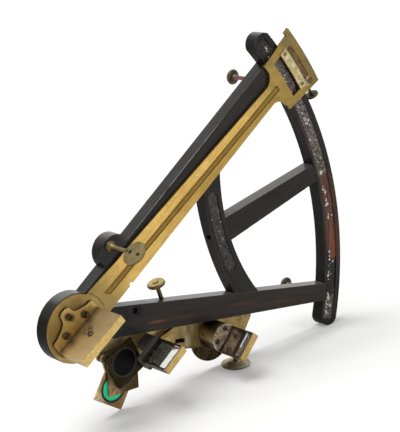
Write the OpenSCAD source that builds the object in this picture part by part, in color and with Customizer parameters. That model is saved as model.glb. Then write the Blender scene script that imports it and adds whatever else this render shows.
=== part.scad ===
// Wooden octant with a brass index arm, two horizon mirrors and a fan of shades.
// Every piece is drawn lying flat: pivot at the origin, bisector of the frame along +X,
// sight limb towards +Y, front face of the wood at z = 0. stand() then sets the whole
// instrument upright on its arc tip, its lower thumbscrew and a shade corner.

/* [Wood frame] */
// Outer radius of the arc about the pivot
limb_radius = 400; // [392:1:408]
// Radial width of the arc
arc_width = 26; // [24:0.5:29]
// Thickness of the wooden members
frame_thick = 16.5; // [15.5:0.5:18.5]
// Angle from the bisector to the centre of the arc's lower rounded end
arc_low_angle = 28; // [27.8:0.1:28.6]
// Angle from the bisector to the centre of the arc's upper rounded end
arc_high_angle = 27.3; // [27:0.1:28.6]
// Angle from the bisector to the limb that carries the mirrors
mirror_limb_angle = 23.5; // [23:0.1:24]
// Angle from the bisector to the limb that carries the sight
sight_limb_angle = 22.9; // [22.4:0.1:23.4]
// Width of each limb at the pivot
limb_root_w = 37; // [34:0.5:39]
// Width of each limb where it meets the arc
limb_tip_w = 21.4; // [20:0.2:24]
// Diameter of the round head at the pivot
head_d = 76; // [75:0.5:80]
// Diameter of the round ear that carries the sight
ear_d = 40; // [36:1:44]
// Distance of the ear along its limb
ear_pos = 89.5; // [84:0.5:95]
// Distance from the pivot to the near edge of the curved brace
brace_x = 203.5; // [196:0.5:210]
// Width of the curved brace at its middle
brace_w = 23.5; // [21:0.5:27]
// Width of the radial strut at the brace
strut_root_w = 29; // [25:0.5:33]
// Width of the radial strut at the arc
strut_tip_w = 21.5; // [18:0.5:24]
// Width of the empty scale recess in the arc
inlay_w = 16.5; // [14:0.5:17]
// Wood left between that recess and the arc's outer edge
recess_edge = 7; // [6.8:0.1:8]
// Depth of the scale recess and of the plate recess in the brace
inlay_depth = 1.5; // [0.8:0.1:2.5]
// Bore for the pencil in the edge of the brace
pencil_d = 7.6; // [6.5:0.1:8.5]
// Spare round socket through the mirror limb
socket_d = 8; // [6:0.5:9]

/* [Index arm] */
// Angle of the arm from the bisector, as shown
arm_angle = 19.65; // [16:0.05:21]
// Thickness of the arm
arm_thick = 3; // [2.4:0.1:3.6]
// Diameter of the disc over the pivot
disc_d = 75; // [73:0.5:76]
// Width of the arm at the pivot
arm_root_w = 39; // [34:0.5:42]
// Width of the arm where it meets its end plate
arm_tip_w = 21; // [18:0.5:23]
// How far the end plate reaches inside the arc's outer edge
plate_inner = 32; // [29:0.5:36]
// How far the end plate stands out past the arc's outer edge
plate_outer = 23; // [21:0.5:28]
// Half of the angle that the end plate spans
plate_half = 5.25; // [5:0.05:5.6]
// Width of the groove along the arm
groove_w = 7.4; // [4:0.2:8]
// How far the groove lies off the arm's centre line
groove_off = -0.6; // [-1:0.1:1]
// Depth of the groove along the arm
groove_depth = 1.2; // [0.6:0.1:1.6]
// Radial width of the reading window
window_w = 13; // [10:0.5:14]
// Thickness of the vernier strip
vernier_t = 0.8; // [0.6:0.1:1.4]
// Diameter of the pivot arbor
pivot_d = 16; // [14:0.5:18]

/* [Index mirror] */
// Width of the index mirror's case
index_w = 64; // [58:1:66]
// Height of the index mirror's case above its foot
index_h = 40.6; // [36:0.2:46]
// Depth of the case from back to front
case_depth = 9; // [8:0.5:11]
// Thickness of the case walls
case_wall = 2; // [1.6:0.1:2.2]
// Thickness of the index glass
glass_t = 4; // [3:0.2:5]
// Thickness of the index mirror's foot
foot_t = 2.5; // [2:0.1:3.2]

/* [Horizon mirrors] */
// Width of each horizon mirror's frame
horizon_w = 33; // [30:0.2:34]
// Height of each horizon glass
horizon_h = 36; // [32:0.5:40]
// Depth of each horizon frame
horizon_d = 8; // [7:0.2:9]
// Thickness of the side rims and of the top bar
rim_t = 1.6; // [1.2:0.1:2]
// Thickness of the horizon glasses
horizon_glass_t = 3; // [2.4:0.1:3.4]
// Height of the mirror seats above the front of the wood
seat_z = 7.8; // [6.5:0.1:9]
// Fore mirror: distance along the limb
fore_pos = 97.6; // [97:0.2:100]
// Fore mirror: distance out from the limb's centre line
fore_off = 33.9; // [33:0.2:36]
// Fore mirror: angle from the limb
fore_angle = 44.8; // [42:0.2:47]
// Back mirror: distance along the limb
back_pos = 204.7; // [200:0.5:208]
// Back mirror: distance out from the limb's centre line
back_off = 34.2; // [33.5:0.2:36]
// Back mirror: angle from the limb
back_angle = 56.5; // [50:0.5:62]
// Diameter of the back mirror's turret
turret_d = 33; // [30:0.5:34]
// Thickness of the brass base plate behind the limb
base_t = 2.5; // [2:0.1:3]

/* [Shades] */
// Side of the square shade frames
shade_w = 41; // [40:0.2:42]
// Thickness of the shade frames
shade_t = 2.4; // [2:0.1:2.6]
// Diameter of the clear opening in each shade frame
shade_hole_d = 33.4; // [30:0.2:33.4]
// Shade pin: distance along the limb
shade_pos = 47.9; // [47.4:0.1:48.6]
// Shade pin: distance out from the limb's centre line
shade_off = 42.4; // [42:0.1:43.4]
// Angle of the front, middle and rear shades from the limb
shade_angle = [34.3, 7.5, -24.3];
// How far each shade's centre lies from the pin, along and across its frame
shade_reach = [[16.3, 18.8], [20.8, 22.9], [27.8, 24.6]];
// How far each opening lies off the centre of its frame, along and across
hole_shift = [[-0.5, 1.6], [1.2, 1.4], [-1.2, -1.4]];
// Diameter of the shade pin
shade_pin_d = 5; // [4:0.2:6]

/* [Hardware] */
// Diameter of the fore thumbscrew's head
fore_thumb_d = 21; // [18:0.5:24]
// Diameter of the back thumbscrew's head
back_thumb_d = 34.6; // [30:0.4:36]
// Diameter of both thumbscrew stems
thumb_stem_d = 5; // [4:0.2:5.6]
// Diameter of the sight disc
sight_d = 28; // [25:0.5:30]
// Diameter of the sight disc's two holes
sight_hole_d = 3.4; // [2:0.2:4]
// Angle that the sight disc is turned to, about square to the back mirror
sight_turn = 30.5; // [0:0.5:40]
// Height of the sight disc's centre above the wood
sight_h = 41; // [38:0.5:44]
// Diameter of the sight and foot stems
stem_d = 4.8; // [4:0.2:5.4]
// Length of the three feet behind the frame
foot_len = 32; // [29:0.5:35]
// Diameter of the feet's mushroom heads
foot_d = 18; // [16:0.5:20]
// Diameter of the screws' shanks
screw_d = 3.8; // [3:0.1:4.2]
// Diameter of the screws' heads
screw_head_d = 8; // [7:0.2:9]
// Diameter of the tangent screw's knob
tangent_head_d = 16.6; // [14:0.2:17]

/* [Clearances] */
// Gap between pieces that move past each other
run_gap = 0.35; // [0.3:0.05:0.5]
// Radial gap between a shaft and its bore
fit_gap = 0.05; // [0.03:0.01:0.08]
// Turn that brings the three points of support level
floor_turn = 12.6; // [12.3:0.1:12.7]

/* [Hidden] */
$fn = 96;
ring_r = limb_radius - arc_width;
mid_r = limb_radius - arc_width / 2;
head_r = head_d / 2;
back_z = -frame_thick;
mid_z = -frame_thick / 2;
// The arc's ends are a little fuller than a half circle
end_full = 0.8;
// Height of the pivot above the floor, set by the rounded tip of the arc
tip_drop = mid_r * sin(arc_low_angle - floor_turn) - end_full * cos(arc_low_angle - floor_turn)
    + arc_width / 2 + end_full;
// Middle of the standing instrument, from head to arc and from sight to feet
middle_x = (limb_radius - head_r) / 2;
middle_y = (frame_thick + foot_len - sight_h - sight_d / 2) / 2;
arm_z = run_gap;
arm_top = arm_z + arm_thick;
foot_top = arm_top + foot_t;
case_top = foot_top + index_h;
window_r = limb_radius - 6.5;
plate_r_in = limb_radius - plate_inner;
plate_r_out = limb_radius + plate_outer;
recess_r = limb_radius - recess_edge;
base_z = back_z - base_t;
shade_gap = 0.4;
pin_head_z = -2.6;
// Underside of the fore block's wing, above the shades
wing_z = pin_head_z + 1;
brace_r1 = 350;
brace_r2 = 240;
seat_t = 2.4;
glass_z = seat_z + seat_t;
bar_z = glass_z + horizon_h;
// Fore thumbscrew: where its axis leaves the inner edge of the limb, in limb coordinates
fore_screw = [124.1, 16.6];
fore_screw_turn = 26.5;
fore_screw_z = -fore_thumb_d / 2 - 0.4;
fore_tip = 38.6;
// Back thumbscrew: its axis beside the turret, and the end of its head
back_screw_x = 20.4;
back_screw_z = 1;
back_head_y = tip_drop_rel();
// Lower end of the post that holds it, clear of its head
post_y = max(-28, back_head_y + 15);
lever_h = 4.4;
tangent_a = -7.03;
tangent_r = limb_radius + 12.9;
tangent_z = -8;
tangent_d = 3.8;
rivet_a = -4;
rivet_r = limb_radius + 11.5;
ebony = [0.10, 0.085, 0.08];
brass = [0.72, 0.55, 0.24];
dark_brass = [0.45, 0.36, 0.18];
glass_dark = [0.16, 0.17, 0.18];

// Height of the turret's axis above the floor, measured up the standing instrument
function turret_x() = back_pos * cos(-mirror_limb_angle) - (-back_off) * sin(-mirror_limb_angle);
function turret_y() = back_pos * sin(-mirror_limb_angle) + (-back_off) * cos(-mirror_limb_angle);
function turret_up() = turret_x() * sin(floor_turn) + turret_y() * cos(floor_turn);
function tip_drop_rel() = -(tip_drop + turret_up()) + 0.3;

// Placing

module stand() {
    translate([-middle_x, -middle_y, tip_drop])
        rotate([90, 0, 0])
            rotate([0, 0, floor_turn])
                children();
}

module on_mirror_limb() {
    rotate([0, 0, -mirror_limb_angle]) children();
}

module on_sight_limb() {
    rotate([0, 0, sight_limb_angle]) children();
}

module on_arm() {
    rotate([0, 0, arm_angle]) children();
}

module at_fore() {
    on_mirror_limb()
        translate([fore_pos, -fore_off, 0])
            rotate([0, 0, fore_angle])
                children();
}

module at_back() {
    on_mirror_limb()
        translate([back_pos, -back_off, 0])
            rotate([0, 0, back_angle])
                children();
}

// The fore thumbscrew's own frame: +Y runs out to its head
module at_fore_screw() {
    on_mirror_limb()
        translate([fore_screw[0], fore_screw[1], fore_screw_z])
            rotate([0, 0, fore_screw_turn])
                children();
}

// The back thumbscrew's frame: +Y runs straight up when the instrument stands
module at_back_screw() {
    on_mirror_limb()
        translate([back_pos, -back_off, back_screw_z])
            rotate([0, 0, mirror_limb_angle - floor_turn])
                children();
}

module at_shade(i) {
    on_mirror_limb()
        translate([shade_pos, -shade_off, 0])
            rotate([0, 0, shade_angle[i]])
                children();
}

// Shared shapes

// A sector of angle -a to a, from z0 upwards
module sector(a, r, z0, h) {
    translate([0, 0, z0])
        linear_extrude(h)
            polygon([[0, 0], [r * cos(a), -r * sin(a)], [r * 1.1, 0], [r * cos(a), r * sin(a)]]);
}

// A ring sector between two radii, from angle a0 to a1
module ring_sector(r0, r1, a0, a1, z0, h) {
    intersection() {
        difference() {
            translate([0, 0, z0]) cylinder(r = r1, h = h, $fn = 256);
            translate([0, 0, z0 - 1]) cylinder(r = r0, h = h + 2, $fn = 256);
        }
        rotate([0, 0, (a0 + a1) / 2]) sector((a1 - a0) / 2, r1 * 1.15, z0 - 0.5, h + 1);
    }
}

module limb_bar(z0, h) {
    translate([0, 0, z0])
        linear_extrude(h)
            polygon([[0, -limb_root_w / 2], [ring_r + 2, -limb_tip_w / 2],
                     [ring_r + 2, limb_tip_w / 2], [0, limb_root_w / 2]]);
}

// A screw seated at z = 0: domed slotted head above, shank below
module slot_screw(hd, hh, sd, len) {
    difference() {
        union() {
            rotate_extrude()
                polygon([[0, 0], [hd / 2, 0], [hd / 2, hh * 0.45], [hd / 2 * 0.72, hh * 0.85],
                         [hd / 2 * 0.3, hh], [0, hh]]);
            translate([0, 0, -len]) cylinder(d = sd, h = len + 0.01);
        }
        translate([-hd, -0.5, hh * 0.55]) cube([hd * 2, 1, hh]);
    }
}

// A turned thumb head along +Z from z = 0, with a rounded rim
module thumb_head(d, h, hub = 0) {
    rotate_extrude()
        polygon([[0, 0], [d * 0.24, 0], [d * 0.34, h * 0.22], [d / 2 * 0.94, h * 0.3],
                 [d / 2, h * 0.5], [d / 2 * 0.97, h * 0.78], [d / 2 * 0.86, h * 0.95],
                 [d / 2 * 0.7, h], [d * 0.16, h], [d * 0.14, h + hub], [0, h + hub]]);
}

// Wood

module frame_screw_holes() {
    on_mirror_limb()
        for (p = base_screw_at())
            translate([p[0], p[1], back_z - 1]) cylinder(d = screw_d + 2 * fit_gap, h = 8.1);
    for (p = foot_at())
        translate([p[0], p[1], back_z - 1]) cylinder(d = stem_d + 2 * fit_gap, h = 9.1);
    for (a = [60, 180, 300])
        rotate([0, 0, a]) translate([19, 0, back_z - 1]) cylinder(d = screw_d + 2 * fit_gap, h = 8.1);
}

function base_screw_at() = [[66, -10.5], [108, -10.5], [168, -10], [215, -9], [250, -9]];
function foot_at() = [
    [(limb_radius - 46) * cos(sight_limb_angle) - 4 * sin(sight_limb_angle),
     (limb_radius - 46) * sin(sight_limb_angle) + 4 * cos(sight_limb_angle)],
    [(limb_radius - 48) * cos(mirror_limb_angle) + 2.6 * sin(mirror_limb_angle),
     -(limb_radius - 48) * sin(mirror_limb_angle) + 2.6 * cos(mirror_limb_angle)],
    [31, 0]];

module mirror_limb() {
    color(ebony) stand()
        difference() {
            union() {
                translate([0, 0, back_z]) rotate([0, 0, 180]) cylinder(r = head_r, h = frame_thick);
                intersection() {
                    on_mirror_limb() limb_bar(back_z, frame_thick);
                    translate([0, 0, back_z]) cylinder(r = ring_r, h = frame_thick, $fn = 256);
                }
            }
            translate([0, 0, back_z - 1]) cylinder(d = pivot_d + 10, h = frame_thick + 2);
            on_mirror_limb()
                translate([78.7, 9.8, back_z - 1]) cylinder(d = socket_d, h = frame_thick + 2);
            at_fore_screw()
                translate([0, 10, 0]) rotate([90, 0, 0])
                    cylinder(d = thumb_stem_d + 2 * fit_gap, h = 70);
            frame_screw_holes();
        }
}

module sight_limb() {
    color(ebony) stand()
        difference() {
            union() {
                intersection() {
                    on_sight_limb() limb_bar(back_z, frame_thick);
                    translate([0, 0, back_z]) cylinder(r = ring_r, h = frame_thick, $fn = 256);
                }
                on_sight_limb()
                    translate([ear_pos, 18, back_z]) cylinder(d = ear_d, h = frame_thick);
            }
            translate([0, 0, back_z - 1]) cylinder(r = head_r, h = frame_thick + 2);
            on_mirror_limb() limb_bar(back_z - 1, frame_thick + 2);
            at_sight() translate([0, 0, back_z - 1]) cylinder(d = stem_d + 2 * fit_gap, h = 40);
            frame_screw_holes();
        }
}

module limb_arc() {
    color(ebony) stand()
        difference() {
            intersection() {
                difference() {
                    translate([0, 0, back_z]) rotate([0, 0, 180])
                        cylinder(r = limb_radius, h = frame_thick, $fn = 256);
                    translate([0, 0, back_z - 1]) rotate([0, 0, 180])
                        cylinder(r = ring_r, h = frame_thick + 2, $fn = 256);
                }
                union() {
                    rotate([0, 0, (arc_high_angle - arc_low_angle) / 2])
                        sector((arc_low_angle + arc_high_angle) / 2, limb_radius * 1.15, back_z - 2, frame_thick + 4);
                    for (a = [-arc_low_angle, arc_high_angle])
                        rotate([0, 0, a])
                            translate([mid_r, a > 0 ? -end_full : end_full, back_z - 1])
                                rotate([0, 0, a > 0 ? -90 : 90])
                                    cylinder(d = arc_width + 2 * end_full, h = frame_thick + 2);
                }
            }
            ring_sector(recess_r - inlay_w, recess_r, -arc_low_angle - 0.7, arc_high_angle + 0.7,
                -inlay_depth, inlay_depth + 1);
        }
}

module curved_brace() {
    slot_r = 290;
    slot_c = brace_x + brace_w * 0.47 + slot_r;
    slot_w = 14.4;
    end_y = 44;
    end_x = slot_c - sqrt(slot_r * slot_r - end_y * end_y);
    color(ebony) stand()
        difference() {
            intersection() {
                translate([brace_x + brace_r1, 0, back_z]) cylinder(r = brace_r1, h = frame_thick, $fn = 256);
                translate([0, 0, back_z])
                    linear_extrude(frame_thick)
                        polygon([[0, 0],
                                 [310 * cos(mirror_limb_angle), -310 * sin(mirror_limb_angle)],
                                 [310 * cos(sight_limb_angle), 310 * sin(sight_limb_angle)]]);
            }
            translate([brace_x + brace_w + brace_r2, 0, back_z - 1])
                cylinder(r = brace_r2, h = frame_thick + 2, $fn = 256);
            on_mirror_limb() limb_bar(back_z - 1, frame_thick + 2);
            on_sight_limb() limb_bar(back_z - 1, frame_thick + 2);
            translate([brace_x - 5, 0, mid_z]) rotate([0, 90, 0]) cylinder(d = pencil_d, h = 23);
            intersection() {
                difference() {
                    translate([slot_c, 0, -inlay_depth])
                        cylinder(r = slot_r + slot_w / 2, h = inlay_depth + 1, $fn = 256);
                    translate([slot_c, 0, -inlay_depth - 1])
                        cylinder(r = slot_r - slot_w / 2, h = inlay_depth + 3, $fn = 256);
                }
                translate([brace_x - 10, -end_y, -inlay_depth - 1]) cube([60, 2 * end_y, inlay_depth + 3]);
            }
            for (s = [-1, 1])
                translate([end_x, s * end_y, -inlay_depth]) cylinder(d = slot_w, h = inlay_depth + 1);
        }
}

module radial_strut() {
    x0 = brace_x + brace_w;
    color(ebony) stand()
        intersection() {
            translate([0, 0, back_z])
                linear_extrude(frame_thick)
                    polygon([[x0 - 4, -strut_root_w / 2], [ring_r + 2, -strut_tip_w / 2],
                             [ring_r + 2, strut_tip_w / 2], [x0 - 4, strut_root_w / 2]]);
            translate([x0 + brace_r2, 0, back_z]) cylinder(r = brace_r2, h = frame_thick, $fn = 256);
            translate([0, 0, back_z]) cylinder(r = ring_r, h = frame_thick, $fn = 256);
        }
}

// Index arm and its pivot

// The rounded inside corner between arm and end plate, on side s and moved back by a step
module arm_fillet(s, step) {
    r = 16;
    mirror([0, s < 0 ? 1 : 0, 0])
        difference() {
            translate([plate_r_in - r - step, arm_tip_w / 2 - 2, arm_z]) cube([r + step + 2.5, r + 2, arm_thick]);
            translate([plate_r_in - r - step, arm_tip_w / 2 + r, arm_z - 1]) cylinder(r = r, h = arm_thick + 2);
        }
}

module index_arm() {
    color(brass) stand() on_arm()
        difference() {
            union() {
                translate([0, 0, arm_z]) cylinder(d = disc_d, h = arm_thick);
                translate([0, 0, arm_z])
                    linear_extrude(arm_thick)
                        polygon([[0, -arm_root_w / 2], [plate_r_in + 2, -arm_tip_w / 2],
                                 [plate_r_in + 2, arm_tip_w / 2], [0, arm_root_w / 2]]);
                ring_sector(plate_r_in, plate_r_out, -plate_half, plate_half, arm_z, arm_thick);
                ring_sector(plate_r_out - 8, plate_r_out, plate_half - 1, plate_half + 0.6, arm_z, arm_thick);
                arm_fillet(1, 0);
                arm_fillet(-1, 3.5);
            }
            translate([0, groove_off, arm_top - groove_depth])
                linear_extrude(groove_depth + 1)
                    polygon([[53, -groove_w / 2], [plate_r_in, -groove_w / 2],
                             [plate_r_in, groove_w / 2], [48, groove_w / 2]]);
            translate([79, 2.2 - arm_root_w / 2, arm_z - 1]) cylinder(d = 5, h = arm_thick + 2);
            ring_sector(window_r - window_w, window_r, -3.78, 3.78, arm_z - 1, arm_thick + 2);
            ring_sector(window_r + 11.5, window_r + 19.5, -3.1, 3.6, arm_top - 0.8, 2);
            for (s = [-1, 1]) {
                translate([s * 15.2, 7.9, arm_z - 1]) cylinder(d = screw_d + 2 * fit_gap, h = arm_thick + 2);
                rotate([0, 0, s * 3.3])
                    translate([window_r + 5.7, 0, arm_z - 1]) cylinder(d = 2 + 2 * fit_gap, h = arm_thick + 2);
            }
            translate([0, 0, arm_z - 1]) cylinder(d = pivot_d - 4 + 2 * fit_gap, h = arm_thick + 2);
            rotate([0, 0, rivet_a])
                translate([rivet_r, 0, arm_z - 1]) cylinder(d = 3 + 2 * fit_gap, h = arm_thick + 2);
        }
}

module pivot_arbor() {
    color(brass) stand() {
        translate([0, 0, back_z - 2.4]) cylinder(d = pivot_d, h = arm_z - back_z + 2.4);
        translate([0, 0, arm_z - 0.01]) cylinder(d = pivot_d - 4, h = arm_thick);
        translate([0, 0, back_z - 8.6]) cylinder(d = pivot_d - 4, h = 6.3);
    }
}

module pivot_nut() {
    color(brass) stand()
        difference() {
            translate([0, 0, back_z - 7.6]) cylinder(d = pivot_d + 10, h = 5, $fn = 6);
            translate([0, 0, back_z - 9]) cylinder(d = pivot_d - 4 + 2 * fit_gap, h = 9);
        }
}

module pivot_bush() {
    color(brass) stand()
        difference() {
            translate([0, 0, back_z]) cylinder(d = pivot_d + 10, h = frame_thick);
            translate([0, 0, back_z - 1]) cylinder(d = pivot_d + 2 * fit_gap, h = frame_thick + 2);
        }
}

module pivot_plate() {
    color(brass) stand()
        difference() {
            translate([0, 0, back_z - 2.2]) cylinder(d = 50, h = 2.2);
            translate([0, 0, back_z - 3]) cylinder(d = pivot_d + 2 * fit_gap, h = 4);
            for (a = [60, 180, 300])
                rotate([0, 0, a]) translate([19, 0, back_z - 3]) cylinder(d = screw_d + 2 * fit_gap, h = 4);
        }
}

module pivot_screws() {
    color(brass) stand()
        for (a = [60, 180, 300])
            rotate([0, 0, a]) translate([19, 0, back_z - 2.2]) rotate([180, 0, 0])
                slot_screw(screw_head_d, 2.2, screw_d, 8.5);
}

// Index mirror

module index_case() {
    w = index_w / 2;
    color(dark_brass) stand() on_arm()
        difference() {
            union() {
                translate([0, 0, arm_top])
                    linear_extrude(foot_t)
                        polygon([[-w, -case_depth], [w, -case_depth], [w, 9.5], [w - 1.5, 12], [w - 8, 13],
                                 [14, 16.7], [9, 20], [7.6, 24], [6.8, 28.6], [3, 30.6], [-3, 30.6],
                                 [-6.8, 28.6], [-7.6, 24], [-9, 20], [-14, 16.7], [-w + 8, 13],
                                 [-w + 1.5, 12], [-w, 9.5]]);
                translate([-w, -case_wall, foot_top - 0.01]) cube([index_w, case_wall, index_h]);
                translate([-w, -case_depth, case_top - case_wall]) cube([index_w, case_depth, case_wall]);
                for (s = [-w, w - rim_t])
                    translate([s, -case_depth, foot_top - 0.01]) cube([rim_t, case_depth, index_h]);
            }
            for (s = [-1, 1])
                translate([s * 15.2, 7.9, arm_top - 1]) cylinder(d = screw_d + 2 * fit_gap, h = foot_t + 2);
            translate([0, 21, arm_top - 1]) cylinder(d = 4 + 2 * fit_gap, h = foot_t + 2);
            translate([0, 1, foot_top + index_h / 2]) rotate([90, 0, 0])
                cylinder(d = 3 + 2 * fit_gap, h = case_wall + 2);
        }
}

module index_glass() {
    color(glass_dark) stand() on_arm()
        translate([-index_w / 2 + rim_t + 0.1, -case_wall - glass_t, foot_top + 0.1])
            cube([index_w - 2 * rim_t - 0.2, glass_t, index_h - case_wall - 0.2]);
}

module bracket_screws() {
    color(brass) stand() on_arm()
        for (s = [-1, 1])
            translate([s * 15.2, 7.9, foot_top])
                rotate([0, 0, s * 25]) slot_screw(screw_head_d, 2.4, screw_d, foot_t + arm_thick - 0.5);
}

module tilt_screw() {
    color(dark_brass) stand() on_arm() translate([0, 21, foot_top]) {
        translate([-2.8, -2.8, run_gap]) cube([5.6, 5.6, 4.2]);
        translate([0, 0, -foot_t + 0.3]) cylinder(d = 4, h = foot_t + run_gap);
    }
}

module case_screw() {
    color(dark_brass) stand() on_arm()
        translate([0, 0, foot_top + index_h / 2]) rotate([-90, 0, 0])
            slot_screw(6.4, 1.8, 3, case_wall);
}

module vernier_plate() {
    color([0.82, 0.72, 0.42]) stand() on_arm()
        difference() {
            ring_sector(window_r + 0.3, window_r + 11, -3.95, 3.95, arm_top, vernier_t);
            for (s = [-1, 1])
                rotate([0, 0, s * 3.3])
                    translate([window_r + 5.7, 0, arm_top - 1]) cylinder(d = 2 + 2 * fit_gap, h = 4);
        }
}

module vernier_screws() {
    color(brass) stand() on_arm()
        for (s = [-1, 1])
            rotate([0, 0, s * 3.3]) translate([window_r + 5.7, 0, arm_top + vernier_t])
                slot_screw(4, 1, 2, vernier_t + arm_thick - 0.5);
}

// Tangent screw outside the arc

// The screw's own frame: +Z runs along the arc, away from the end plate, z = 0 under the knob
module at_tangent() {
    on_arm() rotate([0, 0, tangent_a]) translate([tangent_r, 0, tangent_z]) rotate([90, 0, 0]) children();
}

module tangent_lug() {
    color(dark_brass) stand()
        difference() {
            on_arm() ring_sector(limb_radius + 4, limb_radius + 19.5, -4.9, -3, arm_z - 13, 13);
            at_tangent() translate([0, 0, -40]) cylinder(d = tangent_d + 2 * fit_gap, h = 40);
            on_arm() rotate([0, 0, rivet_a])
                translate([rivet_r, 0, arm_z - 4.5]) cylinder(d = 3 + 2 * fit_gap, h = 6);
        }
}

module tangent_rivet() {
    color(dark_brass) stand() on_arm()
        rotate([0, 0, rivet_a]) translate([rivet_r, 0, arm_z - 4]) {
            cylinder(d = 3, h = 4 + arm_thick + 0.01);
            translate([0, 0, 4 + arm_thick])
                rotate_extrude() polygon([[0, 0], [2.8, 0], [2.3, 0.8], [1, 1.2], [0, 1.2]]);
        }
}

module tangent_screw() {
    color(dark_brass) stand() at_tangent() {
        translate([0, 0, -30]) cylinder(d = tangent_d, h = 31);
        thumb_head(tangent_head_d, 4.6);
    }
}

// Feet and sight

module back_feet() {
    color([0.42, 0.28, 0.18]) stand()
        for (p = foot_at())
            translate([p[0], p[1], back_z]) rotate([180, 0, 0])
                rotate_extrude()
                    polygon([[0, -7.5], [stem_d / 2, -7.5], [stem_d / 2, 0], [5.6, 0], [5.6, 1.6], [3.4, 4],
                             [stem_d / 2, 8], [stem_d / 2, foot_len - 11], [3.6, foot_len - 7.5],
                             [foot_d / 2 * 0.86, foot_len - 6], [foot_d / 2, foot_len - 4.2],
                             [foot_d / 2 * 0.9, foot_len - 2], [foot_d / 2 * 0.6, foot_len - 0.4],
                             [foot_d / 2 * 0.3, foot_len], [0, foot_len]]);
}

module at_sight() {
    on_sight_limb() translate([ear_pos, 18 + ear_d * 0.26, 0]) children();
}

module sight_vane() {
    color(brass) stand() at_sight()
        difference() {
            union() {
                rotate_extrude()
                    polygon([[0, back_z - 5.5], [stem_d / 2, back_z - 5.5], [stem_d / 2, 0], [6.6, 0],
                             [6.2, 1.6], [4.4, 3.4], [3.2, 6.5], [stem_d / 2, 10],
                             [stem_d / 2, sight_h - sight_d / 2 + 2], [0, sight_h - sight_d / 2 + 2]]);
                rotate([0, 0, sight_turn - sight_limb_angle])
                    translate([0, 1.3, sight_h]) rotate([90, 0, 0]) cylinder(d = sight_d, h = 2.6);
            }
            rotate([0, 0, sight_turn - sight_limb_angle])
                for (z = [-6.3, 6.7])
                    translate([0, 3, sight_h + z]) rotate([90, 0, 0]) cylinder(d = sight_hole_d, h = 6);
        }
}

module sight_nut() {
    color(brass) stand() at_sight()
        difference() {
            translate([0, 0, back_z - 4]) cylinder(d = 13, h = 4, $fn = 6);
            translate([0, 0, back_z - 5]) cylinder(d = stem_d + 2 * fit_gap, h = 6);
        }
}

// Base plate behind the mirror limb

module base_plate() {
    color(brass) stand() on_mirror_limb()
        difference() {
            union() {
                translate([0, 0, base_z])
                    linear_extrude(base_t)
                        polygon([[50, -5], [260, -5], [267, -14], [268.5, -21], [261, -37], [252, -53],
                                 [232, -61], [178, -49], [56, -46.5], [45, -41], [46.5, -34]]);
                translate([back_pos + 3, -back_off - 3, base_z]) cylinder(r = 31, h = base_t);
                translate([shade_pos, -shade_off, base_z]) cylinder(d = shade_pin_d + 4.6, h = base_t);
            }
            for (p = base_screw_at())
                translate([p[0], p[1], base_z - 1]) cylinder(d = screw_d + 2 * fit_gap, h = base_t + 2);
            translate([shade_pos, -shade_off, base_z - 1])
                cylinder(d = shade_pin_d + 2 * fit_gap, h = base_t + 2);
            translate([back_pos, -back_off, base_z - 1]) cylinder(d = 7 + 2 * fit_gap, h = base_t + 2);
            translate([153, -40.5, base_z - 1]) cube([14, 5, base_t + 2]);
            translate([fore_pos, -fore_off, 0]) rotate([0, 0, fore_angle])
                translate([8.6, -8, base_z - 1]) cylinder(d = 5 + 2 * fit_gap, h = base_t + 2);
        }
}

module base_screws() {
    color(brass) stand() on_mirror_limb()
        for (p = base_screw_at())
            translate([p[0], p[1], base_z]) rotate([180, 0, 0])
                slot_screw(screw_head_d, 2.2, screw_d, base_t + 6);
}

// Wooden block behind the plate's spare socket
module socket_block() {
    color(ebony) stand() on_mirror_limb()
        difference() {
            translate([148, -46, base_z - 9]) cube([23, 14, 9]);
            translate([153, -40.5, base_z - 7]) cube([14, 5, 8]);
        }
}

// Horizon mirrors

// The open frame that holds a horizon glass: rims, top bar and a back over part of its height
module horizon_frame(back_parts) {
    w = horizon_w / 2;
    for (s = [-w, w - rim_t])
        translate([s, -horizon_d, glass_z - 0.01]) cube([rim_t, horizon_d, horizon_h + 0.02]);
    translate([-w, -horizon_d, bar_z]) cube([horizon_w, horizon_d, rim_t + 0.4]);
    for (p = back_parts)
        translate([-w + 0.5, -horizon_d, glass_z + p[0] * horizon_h - 0.01])
            cube([horizon_w - 1, horizon_d - horizon_glass_t - 2.2, (p[1] - p[0]) * horizon_h + 0.02]);
}

module horizon_glass() {
    translate([-horizon_w / 2 + rim_t + 0.05, -2.1 - horizon_glass_t, glass_z])
        cube([horizon_w - 2 * rim_t - 0.1, horizon_glass_t, horizon_h]);
}

module fore_stud() {
    color(brass) stand() at_fore() translate([8.6, -8, 0]) {
        translate([0, 0, base_z]) cylinder(d = 5, h = base_t + 1);
        translate([0, 0, back_z]) cylinder(d = 7, h = frame_thick + 2);
    }
}

module fore_block() {
    color(ebony) stand()
        difference() {
            fore_body();
            at_fore() translate([8.6, -8, back_z - 1])
                cylinder(d = 7 + 2 * fit_gap, h = frame_thick + 3.4);
        }
}

// Stands beside the limb on one half of its width, and passes over the shades on the other
module fore_body() {
    w = horizon_w / 2;
    at_fore()
        rotate([90, 0, 0])
            linear_extrude(16)
                polygon([[1, back_z + run_gap], [w, back_z + run_gap], [w, seat_z], [-w, seat_z],
                         [-w, wing_z], [1, wing_z]]);
}

module fore_lever() {
    color(brass) stand()
        difference() {
            at_fore_screw() translate([-30, -fore_tip - 6, -lever_h / 2]) cube([35, 5, lever_h]);
            fore_body();
        }
}

module fore_frame() {
    color(dark_brass) stand() at_fore() {
        translate([-horizon_w / 2, -16, seat_z]) cube([horizon_w, 17.2, seat_t]);
        horizon_frame([[0, 0.5]]);
    }
}

module fore_glass() {
    color(glass_dark) stand() at_fore() horizon_glass();
}

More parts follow.
